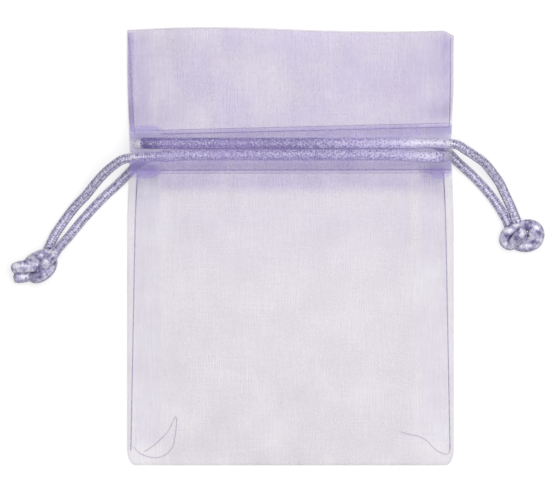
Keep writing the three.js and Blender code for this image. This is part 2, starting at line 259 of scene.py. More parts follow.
def swept_mesh(name: str, path: Grid, radii: Grid) -> Mesh:
    """A closed tube along a path, with domed ends.

    Args:
        name: The mesh's name.
        path: Points along the tube's middle.
        radii: A row of radii round the tube for each of those points.

    Returns:
        The mesh, whose rings come first, in order, and whose two end points come last.
    """
    sides = radii.shape[1]
    ahead = np.gradient(path, axis=0)
    ahead /= np.linalg.norm(ahead, axis=1)[:, None]
    across = np.cross(ahead[0], UP if abs(ahead[0] @ UP) < NEARLY_UP else ACROSS)
    angles = np.linspace(0, 2 * math.pi, sides, endpoint=False)[:, None]
    rings = []
    for middle, forward, radius in zip(path, ahead, radii):
        across = across - forward * (across @ forward)
        across /= np.linalg.norm(across)
        over = np.cross(forward, across)
        rings.append(middle + radius[:, None] * (np.cos(angles) * across + np.sin(angles) * over))
    bulge = END_DOME * float(radii[0].mean())
    tips = [(path[0] - ahead[0] * bulge)[None], (path[-1] + ahead[-1] * bulge)[None]]
    points = np.concatenate([*rings, *tips])
    index = np.arange(len(path) * sides).reshape(len(path), sides)
    following = np.roll(index, -1, axis=1)
    walls = np.stack([index[:-1], following[:-1], following[1:], index[1:]], axis=-1)
    first, last = len(points) - 2, len(points) - 1
    caps = [(first, int(b), int(a)) for a, b in zip(index[0], following[0])]
    caps += [(last, int(a), int(b)) for a, b in zip(index[-1], following[-1])]
    mesh = bpy.data.meshes.new(name)
    mesh.from_pydata(points.tolist(), [], walls.reshape(-1, 4).tolist() + caps)
    mesh.update()
    return mesh


@dataclass(frozen=True)
class Marks:
    """Even noise on a surface: the size of its marks, how much finer noise is in it, and how rough."""

    size: float
    detail: float
    roughness: float = 0.5


@dataclass(frozen=True)
class OrganzaFinish:
    """Polyester organza: a stiff, very sheer plain weave of fine dyed filament.

    The eye sees the white table through it, tinted once by each layer and deep lavender where it is
    bunched and in the casing's painted shade, with uneven warp threads drawn as fine streaks up the
    cloth, a fainter weft, and a soft mottle where the dye took unevenly.
    """

    name: str
    colour: str
    deep_colour: str
    bunched_colour: str
    crushed_colour: str
    cover: float
    bunched_at: float = 1.2
    crushed_at: float = 3.2
    warp_width: float = 0.32 * MM
    warp_length: float = 8 * MM
    weft_width: float = 0.5 * MM
    weft_length: float = 7 * MM
    mottle_size: float = 11 * MM
    warp_contrast: float = 0.21
    weft_contrast: float = 0.07
    mottle_contrast: float = 0.3
    fine_detail: float = 3.0
    weft_detail: float = 1.0
    unevenness: float = 0.55
    relief: float = 0.25
    relief_depth: float = 0.05 * MM
    roughness: float = 0.5
    sheen: float = 0.05
    shine: float = 0.25

    def material(self) -> Material:
        """Build the cloth's node material from its fullness and tint attributes.

        Real organza has about 8 threads to the millimetre, too fine for the picture, so single
        threads are drawn about four times as wide.

        Returns:
            The finished material.
        """
        material = new_material(self.name)
        tree = material.node_tree
        weave = add_node(tree, "ShaderNodeUVMap", uv_map="weave")

        def pattern(across: float, along: float, detail: float) -> Node:
            """Noise whose marks have the given size across and along the strip of cloth."""
            place = add_node(tree, "ShaderNodeMapping", {
                "Vector": weave, "Scale": (1 / across, 1 / along, 1),
            })
            return add_node(tree, "ShaderNodeTexNoise", {
                "Vector": place, "Scale": 1.0, "Detail": detail, "Roughness": self.unevenness,
            })

        warp = pattern(self.warp_width, self.warp_length, self.fine_detail)
        weft = pattern(self.weft_length, self.weft_width, self.weft_detail)
        mottle = pattern(self.mottle_size, self.mottle_size, self.fine_detail)
        fullness, tint = (
            add_node(tree, "ShaderNodeAttribute", attribute_name=name).outputs["Fac"]
            for name in ("fullness", "tint")
        )
        cover = self.cover
        for mark, contrast in (
            (warp, self.warp_contrast), (weft, self.weft_contrast), (mottle, self.mottle_contrast),
        ):
            spread = add_node(tree, "ShaderNodeMath", {0: mark, 1: NOISE_MIDDLE}, operation="SUBTRACT")
            cover = add_node(tree, "ShaderNodeMath", {
                0: spread, 1: contrast, 2: cover,
            }, operation="MULTIPLY_ADD", use_clamp=True)
        cover = add_node(tree, "ShaderNodeMath", {
            0: cover, 1: fullness,
        }, operation="MULTIPLY", use_clamp=True)
        dye = add_node(tree, "ShaderNodeMix", {
            "Factor": mottle, COLOUR_A: linear(self.colour), COLOUR_B: linear(self.deep_colour),
        }, data_type="RGBA")
        # Fullness and the tint attribute pull the dye deeper: more cloth, and in the casing partly painted
        # shade.
        for colour, first, last, least in (
            (self.bunched_colour, 1.0, self.bunched_at, tint),
            (self.crushed_colour, self.bunched_at, self.crushed_at, 0.0),
        ):
            full = add_node(tree, "ShaderNodeMapRange", {
                "Value": fullness, "From Min": first, "From Max": last,
            })
            share = add_node(tree, "ShaderNodeMath", {0: full, 1: least}, operation="MAXIMUM")
            dye = add_node(tree, "ShaderNodeMix", {
                "Factor": share, COLOUR_A: dye, COLOUR_B: linear(colour),
            }, data_type="RGBA")
        return finish_material(material, (warp, self.relief, self.relief_depth), {
            "Base Color": dye, "Alpha": cover, "Roughness": self.roughness,
            "Sheen Weight": self.sheen, "Specular IOR Level": self.shine,
        })


@dataclass(frozen=True)
class SatinCordFinish:
    """Rayon satin cord: fine shiny filament knitted round a white core and dyed lavender.

    Its colour paints the knitting's light and shade: a painted highlight on the loops' crowns, the lavender
    dye on their flanks, painted shade in the grooves between them and in the knots' creases, and painted
    glints and sparkle; the cut ends show the pale core.
    """

    name: str = "knitted rayon satin cord"
    # The crease and groove tones are painted shade and the crown tone is a painted highlight; the flank
    # tone is the dye.
    crease: str = "#3c3570"
    groove_shade: str = "#666187"
    flank: str = "#b2adcd"
    crown: str = "#f3f1fa"
    core: str = "#b9b5cd"
    tone_places: Sequence[float] = (0.26, 0.48, 0.67, 0.9)
    # Painted shade in the cord's own creases: how far it reaches, how strongly and how finely.
    crease_reach: float = 2.0 * MM
    crease_range: Pair = (0.15, 0.9)
    crease_samples: int = 8
    fleck: Marks = Marks(0.54 * MM, 3.0, 0.7)
    # Painted glints: broad painted highlights and painted shade on the knots' stretched knitting.
    glint: Marks = Marks(1.6 * MM, 1.0)
    glint_range: Pair = (0.3, 0.7)
    glint_tones: Pair = (0.19, 0.86)
    # Painted sparkle: fine specks flashing light and dark where the painted light is strong.
    speck: Marks = Marks(0.34 * MM, 2.0)
    loop_share: float = 0.3
    catch_share: float = 0.3
    sparkle_gain: float = 4.0
    most_sparkle: float = 0.18
    sparkle: float = 8.0
    relief: float = 0.3
    relief_depth: float = 0.08 * MM
    roughness: float = 0.3
    shine: float = 0.5

    def material(self) -> Material:
        """Build the cord's node material from its attributes: loop height, stretch, cut core and painted
        light.

        A loop's height picks its tone, from painted shade in its grooves to a painted highlight on its
        crown. Where the knitting is stretched, broad painted glints take the place of fine flecks, and
        where the painted light is strong it paints sparkle.

        Returns:
            The finished material.
        """
        material = new_material(self.name)
        tree = material.node_tree
        loop, stretch, core, catch = (
            add_node(tree, "ShaderNodeAttribute", attribute_name=name).outputs["Fac"]
            for name in ("loop", "stretch", "core", "catch")
        )
        place = add_node(tree, "ShaderNodeTexCoord").outputs["Object"]
        fleck, glint, speck = (
            add_node(tree, "ShaderNodeTexNoise", {
                "Vector": place, "Scale": 1 / marks.size,
                "Detail": marks.detail, "Roughness": marks.roughness,
            })
            for marks in (self.fleck, self.glint, self.speck)
        )
        glint = add_node(tree, "ShaderNodeMapRange", {
            "Value": glint, "From Min": self.glint_range[0], "From Max": self.glint_range[1],
            "To Min": self.glint_tones[0], "To Max": self.glint_tones[1],
        })
        # Painted sparkle grows with the painted light, whatever its sign.
        pressed = add_node(tree, "ShaderNodeMath", {0: catch}, operation="ABSOLUTE")
        for operation, amount in (
            ("MULTIPLY", self.sparkle_gain), ("MINIMUM", self.most_sparkle), ("MULTIPLY", self.sparkle),
        ):
            pressed = add_node(tree, "ShaderNodeMath", {0: pressed, 1: amount}, operation=operation)
        spread = add_node(tree, "ShaderNodeMath", {0: speck, 1: NOISE_MIDDLE}, operation="SUBTRACT")
        # Where the knitting is stretched, painted glints take the place of the fine flecks.
        height = add_node(tree, "ShaderNodeMix", {"Factor": stretch, NUMBER_A: fleck, NUMBER_B: glint})
        for part, share in ((loop, self.loop_share), (catch, self.catch_share), (spread, pressed)):
            height = add_node(tree, "ShaderNodeMath", {
                0: part, 1: share, 2: height,
            }, operation="MULTIPLY_ADD")
        # The ramp paints light and shade by the loop's height: painted shade low down, a painted highlight
        # on top.
        tone = add_node(tree, "ShaderNodeValToRGB", {"Fac": height})
        ramp = tone.color_ramp.elements
        for position, colour in zip(self.tone_places, (self.crease, self.groove_shade, self.flank, self.crown)):
            ramp.new(position).color = linear(colour)
        for end in (-1, 0):
            ramp.remove(ramp[end])
        colour = add_node(tree, "ShaderNodeMix", {
            "Factor": core, COLOUR_A: tone, COLOUR_B: linear(self.core),
        }, data_type="RGBA")
        # Painted shade: places that the cord's own folds hide, as ambient occlusion finds them, take the
        # darkest tone.
        open_share = add_node(tree, "ShaderNodeAmbientOcclusion", {
            "Distance": self.crease_reach,
        }, samples=self.crease_samples, only_local=True)
        bared = add_node(tree, "ShaderNodeMapRange", {
            "Value": open_share.outputs["AO"],
            "From Min": self.crease_range[0], "From Max": self.crease_range[1],
        })
        colour = add_node(tree, "ShaderNodeMix", {
            "Factor": bared, COLOUR_A: linear(self.crease), COLOUR_B: colour,
        }, data_type="RGBA")
        return finish_material(material, (fleck, self.relief, self.relief_depth), {
            "Base Color": colour, "Roughness": self.roughness, "Specular IOR Level": self.shine,
        })


@dataclass(frozen=True)
class SewingThreadFinish:
    """Spun polyester sewing thread: matt, a shade deeper than the cloth, with a twisted ply.

    The eye sees a dull purple line that darkens and lightens slightly from stitch to stitch.
    """

    name: str = "spun polyester sewing thread"
    colour: str = "#beb7d6"
    deep_colour: str = "#a097be"
    shade: Marks = Marks(2.0 * MM, 2.0)
    relief: float = 0.4
    relief_depth: float = 0.05 * MM
    roughness: float = 0.8

    def material(self) -> Material:
        """Build the thread's node material.

        Returns:
            The finished material.
        """
        material = new_material(self.name)
        tree = material.node_tree
        place = add_node(tree, "ShaderNodeTexCoord").outputs["Object"]
        shade = add_node(tree, "ShaderNodeTexNoise", {
            "Vector": place, "Scale": 1 / self.shade.size, "Detail": self.shade.detail,
        })
        colour = add_node(tree, "ShaderNodeMix", {
            "Factor": shade, COLOUR_A: linear(self.colour), COLOUR_B: linear(self.deep_colour),
        }, data_type="RGBA")
        return finish_material(material, (shade, self.relief, self.relief_depth), {
            "Base Color": colour, "Roughness": self.roughness,
        })


@dataclass(frozen=True)
class PouchShape:
    """Sizes of the sewn pouch, and the surfaces that its layers of cloth follow.

    Its methods take places across the pouch as x and up the pouch as y.
    """

    half_width: float = 38.1 * MM
    mouth_y: float = 50.8 * MM
    fold_y: float = -50.8 * MM
    casing_top: float = 28.0 * MM
    casing_low: float = 17.3 * MM
    back_row_distance: float = 4.55 * MM
    facing_end: float = 11.9 * MM
    facing_half: float = 31.45 * MM
    waist_inset: float = 0.7 * MM
    waist_reach: float = 9 * MM
    corner_inset: float = 1.9 * MM
    corner_reach: float = 3.6 * MM
    cloth: float = 0.3 * MM
    seam_z: float = 1.8 * MM
    row_z: float = 8.9 * MM
    facing_drop_z: float = 0.6 * MM
    back_facing_z: float = 0.6 * MM
    channel_rise: float = 2.6 * MM
    lanes_half: float = 3.05 * MM
    stitch_land: float = 0.4 * MM
    belly_rise: float = 1.5 * MM
    belly_fullness: float = 3.0
    crown_fullness: float = 4.0
    mouth_flare: float = 1.5 * MM
    mouth_runout: float = 7 * MM
    fold_depth: float = 0.8 * MM
    seam_margin: float = 2 * MM
    flat_reach: float = 6 * MM
    edge_round: float = 1.3 * MM
    edge_z: float = 1.05 * MM
    pleat_height: float = 0.2 * MM
    pleat_width: float = 6.3 * MM
    pleat_least: float = 0.35
    pleat_reach: float = 12 * MM
    pleat_sway: float = 0.9
    sway_length: float = 6 * MM
    cross_pleat: float = 0.6
    cross_rate: float = 1.63
    cross_start: float = 1.3
    cross_length: float = 11 * MM
    back_pleats: float = 0.4
    row_slant: float = 0.025
    slant_reach: float = 6 * MM
    mouth_wave: float = 0.5 * MM
    mouth_wave_drop: float = 0.1 * MM
    mouth_wave_start: float = 20 * MM
    mouth_wave_length: float = 12.5 * MM
    folded_corner_x: float = 36 * MM
    folded_corner_slope: float = 0.6

    @property
    def casing_mid(self) -> float:
        """Height of the casing's middle up the pouch."""
        return (self.casing_top + self.casing_low) / 2

    @property
    def front_row_distance(self) -> float:
        """From the casing's middle to either row of stitches on the front."""
        return (self.casing_top - self.casing_low) / 2

    def half_width_at(self, y: Grid) -> Grid:
        """Half width of the pouch: drawn in a little at the casing, rounded at the bottom corners.

        Args:
            y: Places up the pouch.

        Returns:
            The half widths there.
        """
        waist = self.waist_inset * np.exp(-((y - self.casing_mid) / self.waist_reach) ** 2)
        into_corner = 1 - np.clip((y - self.fold_y) / self.corner_reach, 0, 1)
        return self.half_width - waist - self.corner_inset * (1 - np.sqrt(1 - into_corner ** 2))

    def past_casing(self, y: Grid) -> Grid:
        """How far a place is above or below the casing."""
        return np.maximum(np.maximum(self.casing_low - y, y - self.casing_top), 0)

    def up_ruffle(self, y: Grid) -> Grid:
        """Share of the way from the casing up to the mouth."""
        return np.clip((y - self.casing_top) / (self.mouth_y - self.casing_top), 0, 1)

    def mouth_open_at(self, y: Grid) -> Grid:
        """How far the side is open: 1 along the casing, where the cords leave, and 0 on the seams."""
        return 1 - ease(self.past_casing(y) / self.mouth_runout)

    def roof(self, y: Grid) -> Grid:
        """Height of the front cloth along the pouch's middle line.

        Args:
            y: Places up the pouch.

        Returns:
            The heights: flared to the mouth, and full in the belly down to the bottom fold.
        """
        flare = self.mouth_flare * ease(self.up_ruffle(y))
        down = np.clip((self.casing_low - y) / (self.casing_low - self.fold_y - self.fold_depth), 0, 1)
        belly = (self.row_z - self.seam_z) * (1 - down ** self.belly_fullness)
        below = self.seam_z + belly + self.belly_rise * np.sin(math.pi * down)
        return np.where(y >= self.casing_low, self.row_z + flare, below)

    def crown(self, x: Grid, y: Grid) -> Grid:
        """Height of the front cloth's underside.

        Args:
            x: Places across the pouch.
            y: Places up the pouch.

        Returns:
            The heights, arched across from seam to seam.
        """
        across = np.clip(np.abs(x) / (self.half_width_at(y) - self.seam_margin), 0, 1)
        roof = self.roof(y)
        seam = self.seam_z + (roof - self.seam_z) * self.mouth_open_at(y)
        return seam + (roof - seam) * (1 - across ** self.crown_fullness)

    def channel(self, y: Grid, row_distance: float) -> Grid:
        """How far the cloth lifts between two rows of stitches to clear both cords.

        Args:
            y: Places up the pouch.
            row_distance: From the casing's middle to either row.

        Returns:
            The lift.
        """
        room = row_distance - self.stitch_land
        share = np.clip((room - np.abs(y - self.casing_mid)) / (room - self.lanes_half), 0, 1)
        return self.channel_rise * share

    def pleats(self, x: Grid, y: Grid) -> Grid:
        """Soft upright waves in the cloth.

        Args:
            x: Places across the pouch.
            y: Places up the pouch.

        Returns:
            The waves' heights, greatest near the gathered casing and nothing on the sewn edges.
        """
        near = self.pleat_least + (1 - self.pleat_least) * np.exp(-self.past_casing(y) / self.pleat_reach)
        turn = 2 * math.pi * x / self.pleat_width
        wave = np.sin(turn + self.pleat_sway * np.sin(y / self.sway_length))
        cross = self.cross_pleat * np.sin(self.cross_rate * turn + self.cross_start + y / self.cross_length)
        flat = ease((self.half_width_at(y) - np.abs(x)) / self.flat_reach)
        return self.pleat_height * near * (wave + cross) / (1 + self.cross_pleat) * flat

    def pinch(self, x: Grid, y: Grid, z: Grid) -> Grid:
        """Bring a layer to the seam's edge, where front and back meet in a rounded fold.

        Args:
            x: Places across the pouch.
            y: Places up the pouch.
            z: The layer's heights.

        Returns:
            The heights, pinched along the seams and free at the casing's mouths.
        """
        inward = 1 - np.clip((self.half_width_at(y) - np.abs(x)) / self.edge_round, 0, 1)
        share = (1 - self.mouth_open_at(y)) * (1 - np.sqrt(1 - inward ** 2))
        return z + (self.edge_z - z) * share

    def front(self, x: Grid, y: Grid) -> Grid:
        """Height of the front panel."""
        lift = self.cloth / 2 + self.channel(y, self.front_row_distance)
        return self.pinch(x, y, self.crown(x, y) + lift + self.pleats(x, y))

    def front_facing(self, x: Grid, y: Grid) -> Grid:
        """Height of the facing behind the front panel."""
        return self.pinch(x, y, self.crown(x, y) + self.cloth / 2 - self.facing_drop_z + self.pleats(x, y))

    def back_facing(self, x: Grid, y: Grid) -> Grid:
        """Height of the facing that lies on the back panel."""
        z = self.back_facing_z + self.cloth / 2 + self.channel(y, self.back_row_distance)
        return self.pinch(x, y, z + self.back_pleats * self.pleats(x, y))

    def back(self, x: Grid, y: Grid) -> Grid:
        """Height of the back panel, which lies on the table."""
        return self.pinch(x, y, np.full_like(x, self.cloth / 2))

    def settle(self, x: Grid, y: Grid) -> Grid:
        """Height up the pouch after the sewing's small errors.

        The casing's upper rows run uphill to the right, the mouth's edge waves, and the top right
        corner is folded in.

        Args:
            x: Places across the pouch.
            y: Places up the pouch, as cut.

        Returns:
            The places up the pouch, as sewn.
        """
        slant = self.row_slant * x * np.exp(-((y - self.casing_top) / self.slant_reach) ** 2)
        wave = self.mouth_wave * np.cos((x + self.mouth_wave_start) / self.mouth_wave_length)
        corner = np.clip(x - self.folded_corner_x, 0, None) * self.folded_corner_slope
        return y + slant + (wave - self.mouth_wave_drop - corner) * self.up_ruffle(y) ** 2


@dataclass(frozen=True)
class Crumple:
    """A spot of the front panel with more or less cloth than around it, placed in millimetres."""

    place: Pair
    reach: Pair
    amount: float

    def at(self, x: Grid, y: Grid) -> Grid:
        """Extra fullness at places on the panel."""
        (across, up), (wide, high) = self.place, self.reach
        return self.amount * np.exp(-((x / MM - across) / wide) ** 4 - ((y / MM - up) / high) ** 4)


@dataclass(frozen=True)
class Allowance:
    """A side seam's turned-in edge: where it starts and how far from the side it ends, on each half.

    Its bunching is what it gains towards the casing.
    """

    inner: float
    left_edge: float
    right_edge: float
    low: float
    top: float
    fullness: float
    bunching: float = 0.0


@dataclass
class Layer:
    """One layer of cloth as a grid: its points, place on the cut strip, fullness, tint and slot."""

    points: Grid
    weave: Grid
    fullness: Grid
    tint: Grid
    material: int


@dataclass
class PouchCloth:
    """The strip of organza that is the whole pouch, in bands and halves."""

    shape: PouchShape
    panel: Material
    facing: Material
    columns: int = 46
    edge_columns: int = 9
    edge_share: float = 2.2
    edge_crowding: float = 1.6
    strip_columns: int = 24
    row_step: float = 0.8 * MM
    casing_rows: int = 29
    fold_steps: int = 7
    mouth_fold: float = 0.3 * MM
    facing_inset: float = 0.25 * MM
    facing_inset_reach: float = 4 * MM
    side_allowance: Allowance = Allowance(29.1 * MM, 1.7 * MM, 1.7 * MM, -46.5 * MM, 19.8 * MM, 0.45, 2.6)
    ruffle_allowance: Allowance = Allowance(31.75 * MM, 0.15 * MM, 0.8 * MM, 28.0 * MM, 50.2 * MM, 0.95)
    allowance_weave: float = 0.3
    allowance_bunch_reach: float = 5 * MM
    left_margin: Ramp = Ramp(36.4 * MM, 0.3 * MM)
    left_margin_fullness: float = 2.4
    right_margin: Ramp = Ramp(35.3 * MM, 0.6 * MM)
    right_margin_end: Ramp = Ramp(37.1 * MM, -0.4 * MM)
    right_margin_rise: Ramp = Ramp(38 * MM, 6 * MM)
    right_margin_fullness: float = 1.44
    right_margin_least: float = 0.35
    fade: float = 2.2 * MM
    fray_reach: float = 3.08 * MM
    # More cover and deeper dye along the casing: partly its gathered cloth, partly painted shade of the
    # cords in it.
    bunching: float = 0.26
    bunch_fade: float = 0.8 * MM
    bunch_top_fade: float = 0.4 * MM
    back_top_fade: float = 1.6 * MM
    # Painted shade on the back panel towards the casing's open ends, as more cover.
    end_painted_shade: float = 0.6
    casing_end: Ramp = Ramp(29 * MM, 4.4 * MM)
    facing_bunching: float = 1.4
    seam_pull: float = 0.19
    ruffle_seam_pull: float = 0.15
    pulled: Ramp = Ramp(27 * MM, 5 * MM)
    gathered: float = 0.04
    gathered_y: float = 6.3 * MM
    gathered_reach: float = 8 * MM
    gather_reach: float = 45.7 * MM
    ruffle_spread: float = 40 * MM
    crumples: Sequence[Crumple] = (
        Crumple((-34.2, 27.9), (3.6, 1.3), 0.7),
        Crumple((-35.7, 24.4), (1.2, 1.3), -0.9),
        Crumple((-32.8, 24.3), (2.2, 1.2), -0.7),
        Crumple((-35.3, 21.4), (2.9, 1.0), -0.6),
        Crumple((-34.4, 18.2), (3.5, 1.8), 1.3),
        Crumple((12.0, 22.9), (17.0, 2.2), -0.12),
        Crumple((34.3, 26.8), (3.4, 0.9), 0.3),
        Crumple((33.0, 24.2), (6.0, 1.1), -0.85),
        Crumple((33.4, 21.4), (5.2, 1.1), -0.5),
        Crumple((34.8, 17.5), (2.4, 1.6), 0.6),
    )

    def fractions(self) -> Grid:
        """Shares of the half width for a layer's columns, closer together at the rounded edge.

        Returns:
            The shares, from 0 on the middle line to 1.
        """
        edge = 1 - self.edge_share * self.shape.edge_round / self.shape.half_width
        outward = (1 - np.linspace(0, 1, self.edge_columns)[1:]) ** self.edge_crowding
        return np.concatenate([np.linspace(0, edge, self.columns), 1 - (1 - edge) * outward])

    def rows(self, first: float, last: float) -> Grid:
        """Evenly spaced rows between two heights up the pouch."""
        return np.linspace(first, last, max(2, round(abs(last - first) / self.row_step) + 1))

    def strip_place(self, y: Grid, layer: str) -> Grid:
        """Distance along the cut strip, from the mouth's front fold down, round and up again.

        Args:
            y: Places up the pouch.
            layer: The name of the layer.

        Returns:
            The distances, below 0 in the front facing.
        """
        shape = self.shape
        length = shape.mouth_y - shape.fold_y
        return {
            "front": shape.mouth_y - y,
            "front_facing": y - shape.mouth_y,
            "back": length + y - shape.fold_y,
            "back_facing": 2 * length + shape.mouth_y - y,
        }[layer]

    def layer(self, side: Side, ys: Grid, layer: str, half: Callable[[Grid], Grid]) -> Layer:
        """One layer of one half, over the given rows.

        Args:
            side: Which half.
            ys: Rows up the pouch.
            layer: The name of the surface that it follows.
            half: The layer's half width at a row.

        Returns:
            The layer's grid.
        """
        shape = self.shape
        fractions = self.fractions()
        y = np.repeat(ys[:, None], len(fractions), axis=1)
        x = side.value * fractions[None, :] * half(y)
        z = getattr(shape, layer)(x, y)
        weave = np.stack([x, self.strip_place(y, layer)], axis=-1)
        is_facing = layer.endswith("facing")
        to_side = half(y) - np.abs(x)
        if is_facing:
            tint = np.zeros_like(x)
            full = self.fray(to_side, y) * np.where(y < shape.casing_low, self.facing_bunching, 1)
        elif layer == "front":
            # The front panel's band along the casing takes deeper dye and more cover: partly its gathered
            # cloth, partly painted shade of the cords in it.
            tint = self.in_casing(y) * ease(to_side / self.fade)
            full = self.fullness(x, y)
        else:
            # The back panel's tint is painted shade in the casing towards its open ends: deeper dye, and
            # more cover with the end shade.
            under_top = ease((shape.casing_top - y) / self.back_top_fade)
            tint = self.in_casing(y) * under_top * self.casing_end.at(np.abs(x))
            full = self.drawn_tight(x, y) + self.end_painted_shade * tint
        return Layer(np.stack([x, y, z], axis=-1), weave, full, tint, int(is_facing))

    def in_casing(self, y: Grid) -> Grid:
        """1 in the casing and 0 outside it, with soft edges."""
        above, below = y - self.shape.casing_low, self.shape.casing_top - y
        return ease(above / self.bunch_fade) * ease(below / self.bunch_top_fade)

    def fullness(self, x: Grid, y: Grid) -> Grid:
        """How much cloth of the front panel lies on a place: more in the casing, partly as painted shade,
        most at its ends.
        """
        crumpled = sum(crumple.at(x, y) for crumple in self.crumples)
        return self.drawn_tight(x, y) + self.in_casing(y) * self.bunching + crumpled

    def drawn_tight(self, x: Grid, y: Grid) -> Grid:
        """How much cloth of a plain panel lies on a place.

        Args:
            x: Places across the pouch.
            y: Places up the pouch.

        Returns:
            Less than 1 where it is pulled flat along the side seams, more where the gathers run out.
        """
        pull = self.seam_pull * (y < self.shape.casing_low)
        pull = pull + self.ruffle_seam_pull * (y > self.shape.casing_top)
        gathered = self.gathered * np.exp(-((y - self.gathered_y) / self.gathered_reach) ** 2)
        return 1 + gathered - pull * self.pulled.at(np.abs(x))

    def fray(self, to_side: Grid, y: Grid) -> Grid:
        """How far a facing's cut edges have thinned, at its sides by the casing and at its lower end."""
        side = np.where(y > self.shape.casing_top, 1, ease(to_side / self.fade))
        return side * ease((y - self.shape.facing_end) / self.fray_reach)

    def folded(self, upper: Layer, lower: Layer, depth: float) -> list[Layer]:
        """Two layers and the rounded fold that joins the last row of one to the first of the other.

        Args:
            upper: The layer that runs into the fold.
            lower: The layer that comes out of it.
            depth: How far the fold reaches past both rows, along Y.

        Returns:
            Both layers, the first with the fold added.
        """
        start, end = upper.points[-1], lower.points[0]
        turn = np.linspace(0, math.pi, self.fold_steps + 2)[1:-1]
        share = (1 - np.cos(turn)) / 2
        fold = start[None] + (end - start)[None] * share[:, None, None]
        fold[..., 1] += depth * np.sin(turn)[:, None]
        half = self.shape.half_width_at
        fold[..., 0] *= half(fold[..., 1]) / half(start[None, :, 1])
        between = {
            "points": fold,
            "weave": (upper.weave[-1:] + lower.weave[:1]) / 2,
            "fullness": upper.fullness[-1:],
            "tint": upper.tint[-1:],
        }
        for name, rows in between.items():
            rows = np.repeat(rows, len(turn) // len(rows), axis=0)
            setattr(upper, name, np.concatenate([getattr(upper, name), rows, getattr(lower, name)[:1]]))
        return [upper, lower]

    def allowance(self, side: Side, strip: Allowance) -> Layer:
        """The turned-in edge of a side seam, a strip between the front and the back.

        Args:
            side: Which half.
            strip: The seam's allowance.

        Returns:
            The strip's grid.
        """
        shape, inner = self.shape, strip.inner
        y = np.repeat(self.rows(strip.low, strip.top)[:, None], self.strip_columns, axis=1)
        outer = shape.half_width_at(y) - (strip.left_edge if side is Side.LEFT else strip.right_edge)
        out = inner + np.linspace(0, 1, self.strip_columns)[None, :] * (outer - inner)
        x = side.value * out
        z = np.full_like(x, shape.edge_z)
        # The strip comes from another place on the cloth, so its weave is that of another length.
        along = self.strip_place(y, "back_facing") + self.allowance_weave
        weave = np.stack([2 * inner * side.value - x, along], axis=-1)
        bunched = strip.bunching * np.exp(-np.abs(shape.casing_low - y) / self.allowance_bunch_reach)
        full = (strip.fullness + bunched) * ease((out - inner) / self.fade)
        full = full * ease((y - strip.low) / self.fade) * ease((strip.top - y) / self.fade)
        if strip is self.ruffle_allowance:
            full = full + self.margin(side, out, y)
        return Layer(np.stack([x, y, z], axis=-1), weave, full, np.zeros_like(x), 1)

    def margin(self, side: Side, out: Grid, y: Grid) -> Grid:
        """Cloth crowded into the ruffle's seam: to the edge on the left, near the mouth on the right.

        Args:
            side: Which half.
            out: Places out from the middle line.
            y: Places up the pouch.

        Returns:
            The extra fullness.
        """
        if side is Side.LEFT:
            return self.left_margin_fullness * self.left_margin.at(out)
        inside = self.right_margin.at(out) * self.right_margin_end.at(out)
        share = self.right_margin_least + (1 - self.right_margin_least) * self.right_margin_rise.at(y)
        return self.right_margin_fullness * inside * share

    def body_layers(self, side: Side) -> list[Layer]:
        """The body in one piece round the bottom fold, the facings' ends and the seam's allowance.

        Args:
            side: Which half.

        Returns:
            The layers.
        """
        shape = self.shape
        bottom = shape.fold_y + shape.fold_depth
        front = self.layer(side, self.rows(shape.casing_low, bottom), "front", shape.half_width_at)
        back = self.layer(side, self.rows(bottom, shape.casing_low), "back", shape.half_width_at)
        facings = [
            self.layer(side, self.rows(shape.casing_low, shape.facing_end), name, self.facing_half)
            for name in ("front_facing", "back_facing")
        ]
        folded = self.folded(front, back, -shape.fold_depth)
        return [*folded, *facings, self.allowance(side, self.side_allowance)]

    def casing_layers(self, side: Side) -> list[Layer]:
        """The casing's four layers, with a channel between each facing and its panel.

        Args:
            side: Which half.

        Returns:
            The layers.
        """
        ys = np.linspace(self.shape.casing_low, self.shape.casing_top, self.casing_rows)
        widths = {
            "front": self.shape.half_width_at, "back": self.shape.half_width_at,
            "front_facing": self.facing_half, "back_facing": self.facing_half,
        }
        return [self.layer(side, ys, name, half) for name, half in widths.items()]

    def ruffle_layers(self, side: Side) -> list[Layer]:
        """The ruffle's front and back, each folded over at the mouth, and the seam's allowance.

        Args:
            side: Which half.

        Returns:
            The layers.
        """
        shape = self.shape
        top = shape.mouth_y - self.mouth_fold
        made: list[Layer] = []
        for name in ("front", "back"):
            outer = self.layer(side, self.rows(shape.casing_top, top), name, shape.half_width_at)
            inner = self.layer(
                side, self.rows(top, shape.casing_top), f"{name}_facing", self.ruffle_facing_half)
            made += self.folded(outer, inner, self.mouth_fold)
        return [*made, self.allowance(side, self.ruffle_allowance)]

    def facing_half(self, y: Grid) -> Grid:
        """Half width of a facing at the casing and below it."""
        return np.full_like(y, self.shape.facing_half)

    def ruffle_facing_half(self, y: Grid) -> Grid:
        """Half width of a facing in the ruffle, full at the mouth's fold and a little narrower below."""
        inset = self.facing_inset * ease((self.shape.mouth_y - y) / self.facing_inset_reach)
        return self.shape.half_width_at(y) - inset

